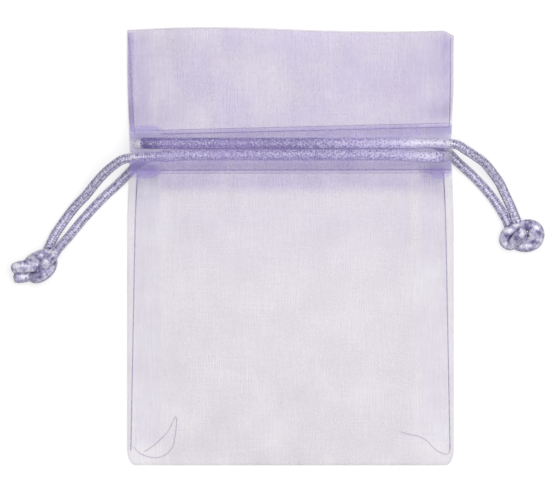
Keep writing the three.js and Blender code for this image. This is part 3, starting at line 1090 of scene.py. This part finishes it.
    def mesh(self, name: str, side: Side, layers: Sequence[Layer]) -> Mesh:
        """One mesh of several grids, with the place on the cut strip as its UV map.

        Args:
            name: The mesh's name.
            side: Which half, because the mirrored one turns its faces round.
            layers: The layers of cloth.

        Returns:
            The mesh.
        """
        points, faces, slots, start = [], [], [], 0
        for layer in layers:
            count, across = layer.points.shape[:2]
            placed = layer.points.copy()
            placed[..., 1] = self.shape.settle(placed[..., 0], placed[..., 1])
            points.append(placed.reshape(-1, 3))
            corner = start + np.arange(count * across).reshape(count, across)
            ring = [corner[:-1, :-1], corner[1:, :-1], corner[1:, 1:], corner[:-1, 1:]]
            goes_up = layer.points[1, 0, 1] > layer.points[0, 0, 1]
            if (side is Side.RIGHT) == goes_up:
                ring.reverse()
            faces.append(np.stack(ring, axis=-1).reshape(-1, 4))
            slots.append(np.full(len(faces[-1]), layer.material))
            start += count * across
        mesh = bpy.data.meshes.new(name)
        mesh.from_pydata(np.concatenate(points).tolist(), [], np.concatenate(faces).tolist())
        mesh.materials.append(self.panel)
        mesh.materials.append(self.facing)
        mesh.polygons.foreach_set("material_index", np.concatenate(slots).astype(np.int32))
        corners = np.zeros(len(mesh.loops), np.int32)
        mesh.loops.foreach_get("vertex_index", corners)
        weave = np.concatenate([layer.weave.reshape(-1, 2) for layer in layers])[corners]
        mesh.uv_layers.new(name="weave").data.foreach_set("uv", weave.astype(np.float32).ravel())
        set_attributes(mesh, {
            "fullness": np.concatenate([layer.fullness.ravel() for layer in layers]),
            "tint": np.concatenate([layer.tint.ravel() for layer in layers]),
        })
        mesh.update()
        return mesh

    def gather(self, piece: Object, side: Side, zone: Zone) -> None:
        """Bake a piece's place into its mesh.

        Args:
            piece: The finished mesh.
            side: Not used.
            zone: Not used.
        """
        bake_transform(piece)

    def build(self) -> list[Object]:
        """Make the six pieces of cloth and hide the frame's parts that they replace.

        Returns:
            The pieces.
        """
        bands = {
            Zone.BODY: (self.body_layers, "{}_side_allowance"),
            Zone.CASING: (self.casing_layers, None),
            Zone.RUFFLE: (self.ruffle_layers, "{}_ruffle_allowance"),
        }
        made = []
        for zone, (layers_of, strip) in bands.items():
            for side in Side:
                mesh = self.mesh(f"{side.label}_{zone.value}_cloth", side, layers_of(side))
                piece = new_piece(mesh.name, mesh)
                nodes = ["front_panel", "back_panel", "front_facing", "back_facing"]
                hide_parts(*nodes, *([strip.format(side.label)] if strip else []))
                self.gather(piece, side, zone)
                LOG.info("%s: %d faces", piece.name, len(mesh.polygons))
                made.append(piece)
        return made


@dataclass
class Stitching:
    """Machine stitches along the casing and the side seams, and the loose thread ends inside.

    The ends' places are in millimetres, in from the pouch's side and up from its bottom fold. A seam
    lies in from the side by one distance next to the casing and by another at its far end.
    """

    cloth: PouchCloth
    thread: Material
    pitch: float = 2.0 * MM
    stitch_length: float = 2.7 * MM
    thread_width: float = 0.2 * MM
    seam_thread_width: float = 0.28 * MM
    lies_above: float = 0.08 * MM
    tilt: float = 0.03
    seed: int = 7
    casing_points: int = 60
    seam_points: int = 80
    ruffle_points: int = 30
    row_end: float = 2.2 * MM
    right_back_row_end: float = 36.4 * MM
    seam_low: float = -46.2 * MM
    seam_in: Pair = (2.1 * MM, 0.9 * MM)
    left_ruffle_in: Pair = (1.4 * MM, 0.6 * MM)
    right_ruffle_in: Pair = (0.7 * MM, 0.8 * MM)
    tail_width: float = 0.12 * MM
    tail_sides: int = 6
    tail_z: float = 0.55 * MM
    left_tail: Sequence[Pair] = (
        (1.5, 4.3), (2.8, 2.9), (4.9, 2), (7.2, 1.8), (9.3, 2.7), (10.7, 4.55), (11.2, 6.9), (11.5, 9.7),
        (11.5, 11), (11.2, 11.3), (10.9, 10.6), (9.6, 8.05), (7.7, 5.95), (5.8, 4.3), (4, 3.15),
    )
    right_tail: Sequence[Pair] = (
        (0.95, 4.6), (0.9, 3.4), (1.5, 2.6), (3, 2.9), (4.7, 4.1), (6.3, 5.7), (7.9, 6.65), (10.3, 7.2),
        (12.4, 7.8),
    )
    tree: NodeTree | None = field(default=None, init=False)

    def stitch_tree(self) -> NodeTree:
        """Node tree that lays one short stitch after another along a line of edges.

        Returns:
            The tree, with its sizes, seed and thread as named inputs.
        """
        tree = bpy.data.node_groups.new("machine_stitches", "GeometryNodeTree")
        for name, kind in {
            "Line": "Geometry", "Pitch": "Float", "Stitch Length": "Float", "Thread Width": "Float",
            "Tilt": "Float", "Seed": "Int", "Thread": "Material",
        }.items():
            tree.interface.new_socket(name, in_out="INPUT", socket_type=f"NodeSocket{kind}")
        tree.interface.new_socket("Stitches", in_out="OUTPUT", socket_type="NodeSocketGeometry")
        given = add_node(tree, "NodeGroupInput").outputs
        line = add_node(tree, "GeometryNodeMeshToCurve", {"Mesh": given["Line"]})
        spaced = add_node(tree, "GeometryNodeResampleCurve", {
            "Curve": line, "Length": given["Pitch"],
        }, mode="LENGTH")
        along = add_node(tree, "GeometryNodeInputTangent")
        wander = add_node(tree, "FunctionNodeRandomValue", {
            0: (-1, -1, 0), 1: (1, 1, 0), "Seed": given["Seed"],
        }, data_type="FLOAT_VECTOR")
        leaning = add_node(tree, "ShaderNodeVectorMath", {
            0: wander, "Scale": given["Tilt"],
        }, operation="SCALE")
        heading = add_node(tree, "ShaderNodeVectorMath", {0: along, 1: leaning}, operation="ADD")
        turned = add_node(tree, "FunctionNodeAlignRotationToVector", {"Vector": heading}, axis="X")
        size = add_node(tree, "ShaderNodeCombineXYZ", {
            0: given["Stitch Length"], 1: given["Thread Width"], 2: given["Thread Width"],
        })
        bead = add_node(tree, "GeometryNodeMeshUVSphere", {"Segments": 8, "Rings": 5, "Radius": 0.5})
        laid = add_node(tree, "GeometryNodeInstanceOnPoints", {
            "Points": spaced, "Instance": bead, "Rotation": turned, "Scale": size,
        })
        real = add_node(tree, "GeometryNodeRealizeInstances", {0: laid})
        dressed = add_node(tree, "GeometryNodeSetMaterial", {"Geometry": real, "Material": given["Thread"]})
        add_node(tree, "NodeGroupOutput", {0: dressed})
        return tree

    def stitched(self, name: str, lines: Sequence[Grid], width: float) -> Object:
        """A plain mesh of stitches along several lines.

        Args:
            name: The piece's name.
            lines: Each row of stitches as points in order.
            width: The thread's width.

        Returns:
            The piece, with no modifier left on it.
        """
        self.tree = self.tree or self.stitch_tree()
        points, edges = [], []
        for line in lines:
            edges += [(len(points) + i, len(points) + i + 1) for i in range(len(line) - 1)]
            points += line.tolist()
        guide_mesh = bpy.data.meshes.new(f"{name}_guide")
        guide_mesh.from_pydata(points, edges, [])
        guide = bpy.data.objects.new(f"{name}_guide", guide_mesh)
        bpy.context.scene.collection.objects.link(guide)
        modifier = guide.modifiers.new("stitches", "NODES")
        modifier.node_group = self.tree
        values = {
            "Pitch": self.pitch, "Stitch Length": self.stitch_length, "Thread Width": width,
            "Tilt": self.tilt, "Seed": self.seed, "Thread": self.thread,
        }
        for item in self.tree.interface.items_tree:
            if item.in_out == "INPUT" and item.name in values:
                modifier[item.identifier] = values[item.name]
        evaluated = guide.evaluated_get(bpy.context.evaluated_depsgraph_get())
        mesh = bpy.data.meshes.new_from_object(evaluated)
        mesh.name = name
        bpy.data.objects.remove(guide)
        return new_piece(name, mesh)

    def on_cloth(self, x: Grid, y: Grid, surface: Callable[[Grid, Grid], Grid]) -> Grid:
        """Points of a row of stitches, lying on a layer of cloth."""
        return np.stack([x, self.cloth.shape.settle(x, y), surface(x, y) + self.lies_above], axis=-1)

    def casing_rows(self, side: Side) -> list[Grid]:
        """One half of the four rows along the casing, two on the front and two on the back facing.

        Args:
            side: Which half.

        Returns:
            The rows' points.
        """
        shape = self.cloth.shape
        back_end = shape.facing_half - self.row_end if side is Side.LEFT else self.right_back_row_end
        rows = []
        for surface, distance, end in (
            (shape.front, shape.front_row_distance, shape.half_width - self.row_end),
            (shape.back_facing, shape.back_row_distance, back_end),
        ):
            x = side.value * np.linspace(self.pitch / 2, end, self.casing_points)
            for y in (shape.casing_mid - distance, shape.casing_mid + distance):
                rows.append(self.on_cloth(x, np.full_like(x, y), surface))
        return rows

    def seam_row(self, side: Side, zone: Zone) -> Grid:
        """The side seam of one half, below the casing or above it.

        Args:
            side: Which half.
            zone: The body or the ruffle.

        Returns:
            The row's points.
        """
        shape = self.cloth.shape
        if zone is Zone.BODY:
            y = np.linspace(shape.casing_low, self.seam_low, self.seam_points)
            inset = self.seam_in
        else:
            y = np.linspace(shape.casing_top, shape.mouth_y - self.row_end, self.ruffle_points)
            inset = self.left_ruffle_in if side is Side.LEFT else self.right_ruffle_in
        x = side.value * (shape.half_width_at(y) - np.linspace(*inset, len(y)))
        return self.on_cloth(x, y, shape.front)

    def tail(self, side: Side) -> Object:
        """A loose thread end inside a bottom corner, lying on the back panel.

        Args:
            side: Which corner.

        Returns:
            The piece.
        """
        shape = self.cloth.shape
        route = np.array([
            (side.value * (shape.half_width - inward * MM), shape.fold_y + up * MM, self.tail_z)
            for inward, up in (self.left_tail if side is Side.LEFT else self.right_tail)
        ])
        path = even_curve(route, self.tail_width)
        radii = np.full((len(path), self.tail_sides), self.tail_width / 2)
        mesh = swept_mesh(f"{side.label}_thread_tail_end", path, radii)
        return new_piece(mesh.name, mesh, (self.thread,))

    def build(self) -> list[Object]:
        """Make every row and thread end, hide the frame's threads that they replace, and bake each one's
        place into its mesh.

        Returns:
            The pieces.
        """
        casing_nodes = (
            "front_casing_upper_thread", "front_casing_lower_thread",
            "back_casing_upper_thread", "back_casing_lower_thread",
        )
        made = []
        for side in Side:
            label = side.label
            casing = self.stitched(f"{label}_casing_stitches", self.casing_rows(side), self.thread_width)
            parts = [(casing, Zone.CASING, casing_nodes)]
            for zone, word in ((Zone.BODY, "side"), (Zone.RUFFLE, "ruffle")):
                row = self.seam_row(side, zone)
                seam = self.stitched(f"{label}_{word}_stitches", [row], self.seam_thread_width)
                parts.append((seam, zone, (f"{label}_{word}_thread",)))
            parts.append((self.tail(side), Zone.BODY, (f"{label}_thread_tail",)))
            for piece, zone, nodes in parts:
                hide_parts(*nodes)
                self.cloth.gather(piece, side, zone)
                LOG.info("%s: %d faces", piece.name, len(piece.data.polygons))
                made.append(piece)
        return made


@dataclass
class Drawstring:
    """One satin cord: a loop through both channels, two free strands and the knot in their ends.

    The routes are in millimetres as out from the pouch's side, up from the cord's lane, and above
    the table. The turn lies at the far side of the casing, opposite the side where the cord leaves.
    """

    side: Side
    lane_y: float
    lane_bow: float
    shape: PouchShape
    satin: Material
    front_route: Sequence[Point]
    front_knot: Sequence[Point]
    back_route: Sequence[Point]
    back_knot: Sequence[Point]
    diameter: float = 2.3 * MM
    front_z: float = 10.05 * MM
    back_z: float = 1.75 * MM
    lane_points: int = 24
    bow_end: float = 24 * MM
    turn_points: int = 12
    turn_square: float = 0.55
    squash: float = 0.14
    squash_reach: float = 4 * MM
    casing_smooth: float = 0.5
    casing_square: float = 1.6
    knot_swell: float = 0.3
    knot_smooth: float = 0.6
    swelling: Ramp = Ramp(4 * MM, 3 * MM)
    cut_swell: float = 0.45
    cut_taper: float = 0.65
    knot_step: float = 0.55 * MM
    knot_bend: float = 0.6 * MM
    knot_passes: int = 6
    wales: int = 6
    loop_pitch: float = 0.55 * MM
    loop_lean: float = 2.0
    loop_least: float = 0.3
    smooth_height: float = 0.6
    cut_height: float = 0.5
    relief: float = 0.07
    sides: int = 24
    step: float = 0.124 * MM
    # Painted light in the cord's colour: a painted sheen, more of it on the near half, painted shade on the
    # far half (a painted highlight where that amount is below 0), painted shade just before the far mouth
    # and a painted highlight on the turn itself.
    catch: float = 0.04
    near_catch: float = 0.2
    near: Ramp = Ramp(4 * MM, 30 * MM)
    mouth: Ramp = Ramp(36.2 * MM, 1.6 * MM)
    far_painted_shade: float = -0.5
    far: Ramp = Ramp(4 * MM, 30 * MM)
    far_crushed: float = 0.0
    crushed: Ramp = Ramp(28.8 * MM, 3 * MM)
    bared: Ramp = Ramp(33.9 * MM, 0.6 * MM)

    def outside(self, route: Sequence[Point]) -> Grid:
        """A route's points in the frame."""
        return np.array([
            (self.side.value * (self.shape.half_width + out * MM), self.lane_y + above * MM, z * MM)
            for out, above, z in route
        ])

    def eased_knot(self, route: Sequence[Point]) -> Grid:
        """Half of a knot, with every bend eased to what a cord of this thickness can take.

        Args:
            route: The points that the half passes through.

        Returns:
            Even points along it.
        """
        path = even_curve(self.outside(route), self.knot_step)
        for _ in range(self.knot_passes):
            for i in range(1, len(path) - 1):
                middle = (path[i - 1] + path[i + 1]) / 2
                bow = np.linalg.norm(middle - path[i])
                most = np.linalg.norm(path[i + 1] - middle) ** 2 / (2 * self.knot_bend)
                if bow > most:
                    path[i] += (middle - path[i]) * (1 - most / bow)
        return path

    def strand_path(self, route: Sequence[Point], knot: Sequence[Point], z: float) -> Grid:
        """A free strand from the casing's mouth through the knot to its cut end.

        Args:
            route: The strand's way to the knot.
            knot: Its way through the knot.
            z: Height of its channel.

        Returns:
            Even points along it.
        """
        out = self.shape.facing_half + np.array((0, self.diameter / 2))
        start = np.array([(self.side.value * x, self.lane_y, z) for x in out])
        return even_curve(np.concatenate([start, self.outside(route), self.eased_knot(knot)]), self.step)

    def loop_path(self) -> Grid:
        """The run through the front channel, round the turn at the far side and back behind.

        Returns:
            Even points along it.
        """
        side, half = self.side.value, self.shape.facing_half
        along = np.linspace(side * half, -side * half, self.lane_points)
        angle = np.linspace(0, math.pi, self.turn_points + 2)[1:-1]
        radius = (self.front_z - self.back_z) / 2
        # Only the upper half of the turn is pressed square, by the casing's front.
        power = np.where(angle < math.pi / 2, self.turn_square, 1.0)
        turn = np.stack([
            -side * (half + radius * np.sin(angle) ** power),
            np.full_like(angle, self.lane_y),
            self.back_z + radius * (1 + np.sign(np.cos(angle)) * np.abs(np.cos(angle)) ** power),
        ], axis=-1)
        bow = 1 - ease((np.abs(along) - self.bow_end) / (half - self.bow_end))
        lane = self.lane_y + self.lane_bow * bow
        front = np.stack([along, lane, np.full_like(along, self.front_z)], axis=-1)
        back = np.stack([along[::-1], lane, np.full_like(along, self.back_z)], axis=-1)
        return even_curve(np.concatenate([front, turn, back]), self.step)

    def loop_height(self, angles: Grid, distance: float) -> Grid:
        """Relief of the knitting at one place along the cord.

        Args:
            angles: Places round the cord.
            distance: How far along the cord.

        Returns:
            1 on a loop's crown, and least in the grooves between loops.
        """
        column = np.abs(np.sin(self.wales * angles / 2))
        turn = 2 * math.pi * distance / self.loop_pitch
        rib = (1 + np.cos(turn + angles + self.loop_lean * column)) / 2
        low, rise = self.loop_least, 1 - self.loop_least
        return (low + rise * np.sqrt(column)) * (low + rise * rib)

    def loop_catch(self, path: Grid) -> Grid:
        """Painted light on the cord in the casing, put into its colour.

        Args:
            path: Points along the cord.

        Returns:
            A painted sheen, more on the near half; on the far half painted shade, turning to a painted
            highlight where its amount is below 0; painted shade just before the far mouth and a painted
            highlight on the turn itself.
        """
        out = -self.side.value * path[:, 0]
        near = self.near_catch * self.near.at(-out)
        painted_shade = self.far_painted_shade * self.far.at(out) + self.far_crushed * self.crushed.at(out)
        bared = self.bared.at(out)
        return self.catch + near - painted_shade * (1 - bared) + self.far_crushed * bared

    def strand_catch(self, path: Grid) -> Grid:
        """Painted light on a free strand: the casing's painted sheen up to the mouth, then none."""
        out = self.side.value * path[:, 0]
        return (self.catch + self.near_catch) * (1 - self.mouth.at(out))

    def knitted(
        self, name: str, path: Grid, swell: Callable[[Grid], Grid], smooth: float, catch: Grid,
        square: float = 0.0,
    ) -> Object:
        """A knitted tube along a path, with its relief and its cut ends as attributes.

        Args:
            name: The piece's name.
            path: Points along its middle.
            swell: Share that the cord is thicker by, at distances along it.
            smooth: How far the knitting is stretched smooth where the cord is at its thickest.
            catch: Painted light at each point, a highlight above 0 and shade below it, 0 for a cord that
                hangs free.
            square: How far the cord is pressed from round to square where it is at its thickest.

        Returns:
            The piece.
        """
        angles = np.linspace(0, 2 * math.pi, self.sides, endpoint=False)
        run = distances(path)
        thicker = swell(run)
        share = thicker / thicker.max()
        stretched = smooth * share
        heights = np.stack([
            self.loop_height(angles, d) * (1 - s) + self.smooth_height * s for d, s in zip(run, stretched)
        ])
        power = 2 + square * share[:, None]
        section = (np.abs(np.cos(angles)) ** power + np.abs(np.sin(angles)) ** power) ** (-1 / power)
        radii = self.diameter / 2 * (1 + thicker[:, None]) * (1 - self.relief * (1 - heights)) * section
        mesh = swept_mesh(name, path, radii)
        # Each attribute ends with the tube's two end points, which are its cut ends.
        set_attributes(mesh, {
            "loop": np.append(heights.ravel(), [self.cut_height] * 2),
            # The stretch share picks the painted glints in the knots.
            "stretch": np.append(np.repeat(stretched * (square == 0), self.sides), [1, 1]),
            "core": np.append(np.zeros(heights.size), [1, 1]),
            "catch": np.append(np.repeat(catch, self.sides), [0, 0]),
        })
        piece = new_piece(name, mesh, (self.satin,))
        LOG.info("%s: %d faces", name, len(mesh.polygons))
        return piece

    def build(self) -> list[Object]:
        """Make the loop in the casing and both knotted strands, and hang them on the drawstring's body.

        Returns:
            The pieces.
        """
        label = self.side.label
        path = self.loop_path()

        def pressed(run: Grid) -> Grid:
            """The casing spreads the cord a little, all but its two ends."""
            return self.squash * ease(np.minimum(run, run[-1] - run) / self.squash_reach)

        loop = self.knitted(
            f"{label}_loop_in_casing", path, pressed, self.casing_smooth, self.loop_catch(path),
            self.casing_square)
        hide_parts(f"{label}_casing_cord")
        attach(loop, f"{label}_drawstring")
        made = [loop]
        for name, route, knot, z in (
            ("front", self.front_route, self.front_knot, self.front_z),
            ("back", self.back_route, self.back_knot, self.back_z),
        ):
            path = self.strand_path(route, knot, z)
            tied = path_length(path) - path_length(self.eased_knot(knot))

            def bulged(run: Grid) -> Grid:
                """The cord swells in the knot, where its core is pressed together."""
                at_cut = ease(self.cut_taper * (run[-1] - run) / MM + self.cut_swell)
                return self.knot_swell * self.swelling.at(run - tied) * at_cut

            catch = self.strand_catch(path) if name == "front" else np.zeros(len(path))
            strand = self.knitted(f"{label}_{name}_cord", path, bulged, self.knot_smooth, catch)
            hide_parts(f"{label}_{name}_strand", f"{label}_knot")
            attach(strand, f"{label}_drawstring")
            made.append(strand)
        return made


@dataclass
class Studio:
    """A white paper table under soft light, and the camera straight above that took the photograph."""

    paper: str = "#b3b3b4"
    white: str = "#ffffff"
    floor_half: float = 0.7
    floor_z: float = -0.1 * MM
    glow: float = 0.62
    sky: float = 0.24
    key_power: float = 13.0
    key_size: float = 0.9
    key_place: Point = (0.15, 0.12, 1.2)
    frame_width: float = 128.15 * MM
    frame_middle: Pair = (-3.61 * MM, -0.35 * MM)
    focus_z: float = 4 * MM
    camera_height: float = 2.0
    camera_sees: float = 20.0
    sensor_width: float = 36.0
    sheer_layers: int = 40

    def seen_directly(self, tree: NodeTree) -> Node:
        """Add nodes that tell what is looked at from light that falls on things.

        Args:
            tree: The node tree that gets them.

        Returns:
            A node that gives 1 for what the camera, a reflection or a clear body shows, and else 0.
        """
        light = add_node(tree, "ShaderNodeLightPath").outputs
        seen = light["Is Camera Ray"]
        for kind in ("Is Glossy Ray", "Is Transmission Ray"):
            seen = add_node(tree, "ShaderNodeMath", {0: seen, 1: light[kind]}, operation="MAXIMUM")
        return seen

    def floor(self) -> None:
        """The paper that the pouch lies on: white, matt and a little raised in tone, with a soft shadow."""
        material = new_material("matt white paper")
        tree = material.node_tree
        surface = add_node(tree, "ShaderNodeBsdfDiffuse", {"Color": linear(self.paper)})
        strength = add_node(tree, "ShaderNodeMath", {
            0: self.seen_directly(tree), 1: self.glow,
        }, operation="MULTIPLY")
        shine = add_node(tree, "ShaderNodeEmission", {"Strength": strength})
        both = add_node(tree, "ShaderNodeAddShader", {0: surface, 1: shine})
        add_node(tree, "ShaderNodeOutputMaterial", {"Surface": both})
        half, z = self.floor_half, self.floor_z
        corners = [(-half, -half, z), (half, -half, z), (half, half, z), (-half, half, z)]
        mesh = bpy.data.meshes.new("paper_table")
        mesh.from_pydata(corners, [], [(0, 1, 2, 3)])
        new_piece("paper_table", mesh, (material,))

    def light(self) -> None:
        """An even white sky, and one large soft lamp above the table."""
        scene = bpy.context.scene
        scene.world = bpy.data.worlds.new("white_studio")
        scene.world.use_nodes = True
        tree = scene.world.node_tree
        tree.nodes.clear()
        level = add_node(tree, "ShaderNodeMix", {
            "Factor": self.seen_directly(tree), NUMBER_A: self.sky, NUMBER_B: 1.0,
        })
        sky = add_node(tree, "ShaderNodeBackground", {"Color": linear(self.white), "Strength": level})
        add_node(tree, "ShaderNodeOutputWorld", {"Surface": sky})
        lamp = bpy.data.lights.new("soft_key", "AREA")
        lamp.energy, lamp.size = self.key_power, self.key_size
        key = bpy.data.objects.new("soft_key", lamp)
        key.location = self.key_place
        key.rotation_euler = (-Vector(self.key_place)).to_track_quat("-Z", "Y").to_euler()
        scene.collection.objects.link(key)

    def camera(self) -> None:
        """A long lens straight above, so that the frame is the photograph's."""
        lens = bpy.data.cameras.new("photo_camera")
        lens.sensor_width = self.sensor_width
        lens.lens = self.sensor_width * (self.camera_height - self.focus_z) / self.frame_width
        lens.clip_end = self.camera_sees
        camera = bpy.data.objects.new("photo_camera", lens)
        camera.location = (*self.frame_middle, self.camera_height)
        bpy.context.scene.collection.objects.link(camera)
        bpy.context.scene.camera = camera

    def build(self) -> None:
        """Lay the paper, light it and set up the camera."""
        self.floor()
        self.light()
        self.camera()
        bpy.context.scene.view_settings.view_transform = "Standard"
        # Light crosses up to six layers of sheer cloth on its way down, and the view as many again.
        bpy.context.scene.cycles.transparent_max_bounces = self.sheer_layers


LEFT_ROUTES = {
    "front_route": (
        (0.7, -0.55, 9.9), (3.2, -2.1, 8.7), (5.35, -3.95, 7.1), (7.45, -6.25, 5.3), (9.55, -8.85, 3.6),
        (11.6, -10.95, 2.3), (13.5, -13.25, 1.6), (15.2, -15.6, 1.6),
    ),
    "front_knot": (
        (16.75, -17.9, 1.9), (18, -20.45, 2.2), (18.7, -22.2, 1.8), (18.2, -23.4, 1.6), (17.7, -24.1, 2),
        (17.8, -25.3, 2.7), (18.5, -26.5, 3.6), (19.6, -27.4, 4.2), (21, -28, 3.7), (22.2, -27.6, 2.2),
        (23, -26.5, 1.6), (22.9, -25, 1.6), (22, -24, 3.1), (20.8, -23.3, 4.5), (19.3, -22.8, 4.6),
        (18.2, -22.8, 3.2), (17.9, -23.6, 1.9), (18.9, -24.7, 1.7), (20.3, -25.3, 2.4),
        (21.6, -25.4, 4.2), (23.5, -25.4, 4.8), (25.3, -25.7, 4.2), (26.2, -26, 3.5),
    ),
    "back_route": (
        (-3.6, -0.75, 1.75), (-1.6, -2.45, 1.75), (0.7, -4.85, 1.7), (2.6, -6.7, 1.35), (4.65, -8.55, 1.25),
        (7.1, -11, 1.2), (9.2, -13.25, 1.25), (11.35, -15.75, 1.4),
    ),
    "back_knot": (
        (13.75, -18.7, 2.2), (15.6, -20.8, 3.8), (17, -22.5, 5.2), (18.4, -24, 5.4), (19.9, -25.6, 4.2),
        (21.2, -26.8, 2.5), (23, -27.5, 2.1), (24.9, -27.9, 2.4), (26.2, -27.9, 2.6),
    ),
}

RIGHT_ROUTES = {
    "front_route": (
        (0.6, -0.4, 9.95), (2.3, -1.4, 9.3), (4.7, -2.9, 7.8), (7, -4.55, 6), (9.2, -7.15, 4.2),
        (10.8, -9.45, 2.9), (11.9, -11.75, 2.2), (12.95, -14, 2.2),
    ),
    "front_knot": (
        (13.75, -15.85, 2.4), (14.65, -18.1, 2.8), (15.25, -19.7, 2.1), (16.05, -21.45, 1.4),
        (17.35, -22.4, 1.5), (18.5, -22.05, 2.3), (18.7, -20.85, 3.1), (17.75, -20.15, 3.4),
    ),
    "back_route": (
        (-3.9, -0.4, 1.75), (-2.1, -1.3, 1.75), (-0.7, -2.65, 1.75), (0.7, -4.15, 1.7), (2.3, -5.6, 1.45),
        (4, -7.15, 1.25), (6.3, -9.45, 1.2), (8.3, -11.75, 1.2), (9.95, -14, 1.25),
    ),
    "back_knot": (
        (11.15, -15.85, 1.3), (12.3, -17.95, 1.8), (12.8, -19.45, 1.8), (13.3, -21.55, 1.4),
        (14.65, -23.45, 1.5), (17, -24, 1.8), (19.1, -23.1, 2.2), (19.8, -21.2, 2.6), (19.1, -19.6, 3),
        (17.45, -19, 2.8), (15.95, -19.3, 2.5), (14.35, -19.8, 3.2), (12.9, -20.45, 3.6), (12, -21.55, 3.1),
        (11.95, -22.9, 2.5), (13.05, -23.6, 2.7), (14.15, -22.7, 3.9), (15.15, -21.5, 4.6),
        (16.35, -20.3, 4.9),
    ),
}


def main() -> None:
    """Build the pouch from its cloth outwards, then the studio."""
    logging.basicConfig(level=logging.INFO, format="%(message)s")
    shape = PouchShape()
    panel = OrganzaFinish(
        "polyester organza panel", "#ddd3e1", "#d7cddb", "#a997d9", "#a093d8", cover=0.3).material()
    facing = OrganzaFinish(
        "polyester organza facing", "#cfbdff", "#c7b3fd", "#9583d8", "#7d6ec4", cover=0.16,
        bunched_at=2.7, crushed_at=4.5, mottle_contrast=0.45).material()
    cloth = PouchCloth(shape, panel, facing)
    cloth.build()
    Stitching(cloth, SewingThreadFinish().material()).build()
    satin = SatinCordFinish().material()
    Drawstring(Side.LEFT, 21.05 * MM, 0.53 * MM, shape, satin, **LEFT_ROUTES).build()
    Drawstring(
        Side.RIGHT, 24.25 * MM, 0.0, shape, satin, knot_swell=0.2, near_catch=0.75, far_painted_shade=0.42,
        far=Ramp(-14 * MM, 14 * MM), far_crushed=0.65, **RIGHT_ROUTES).build()
    Studio().build()


if __name__ == "__main__":
    main()
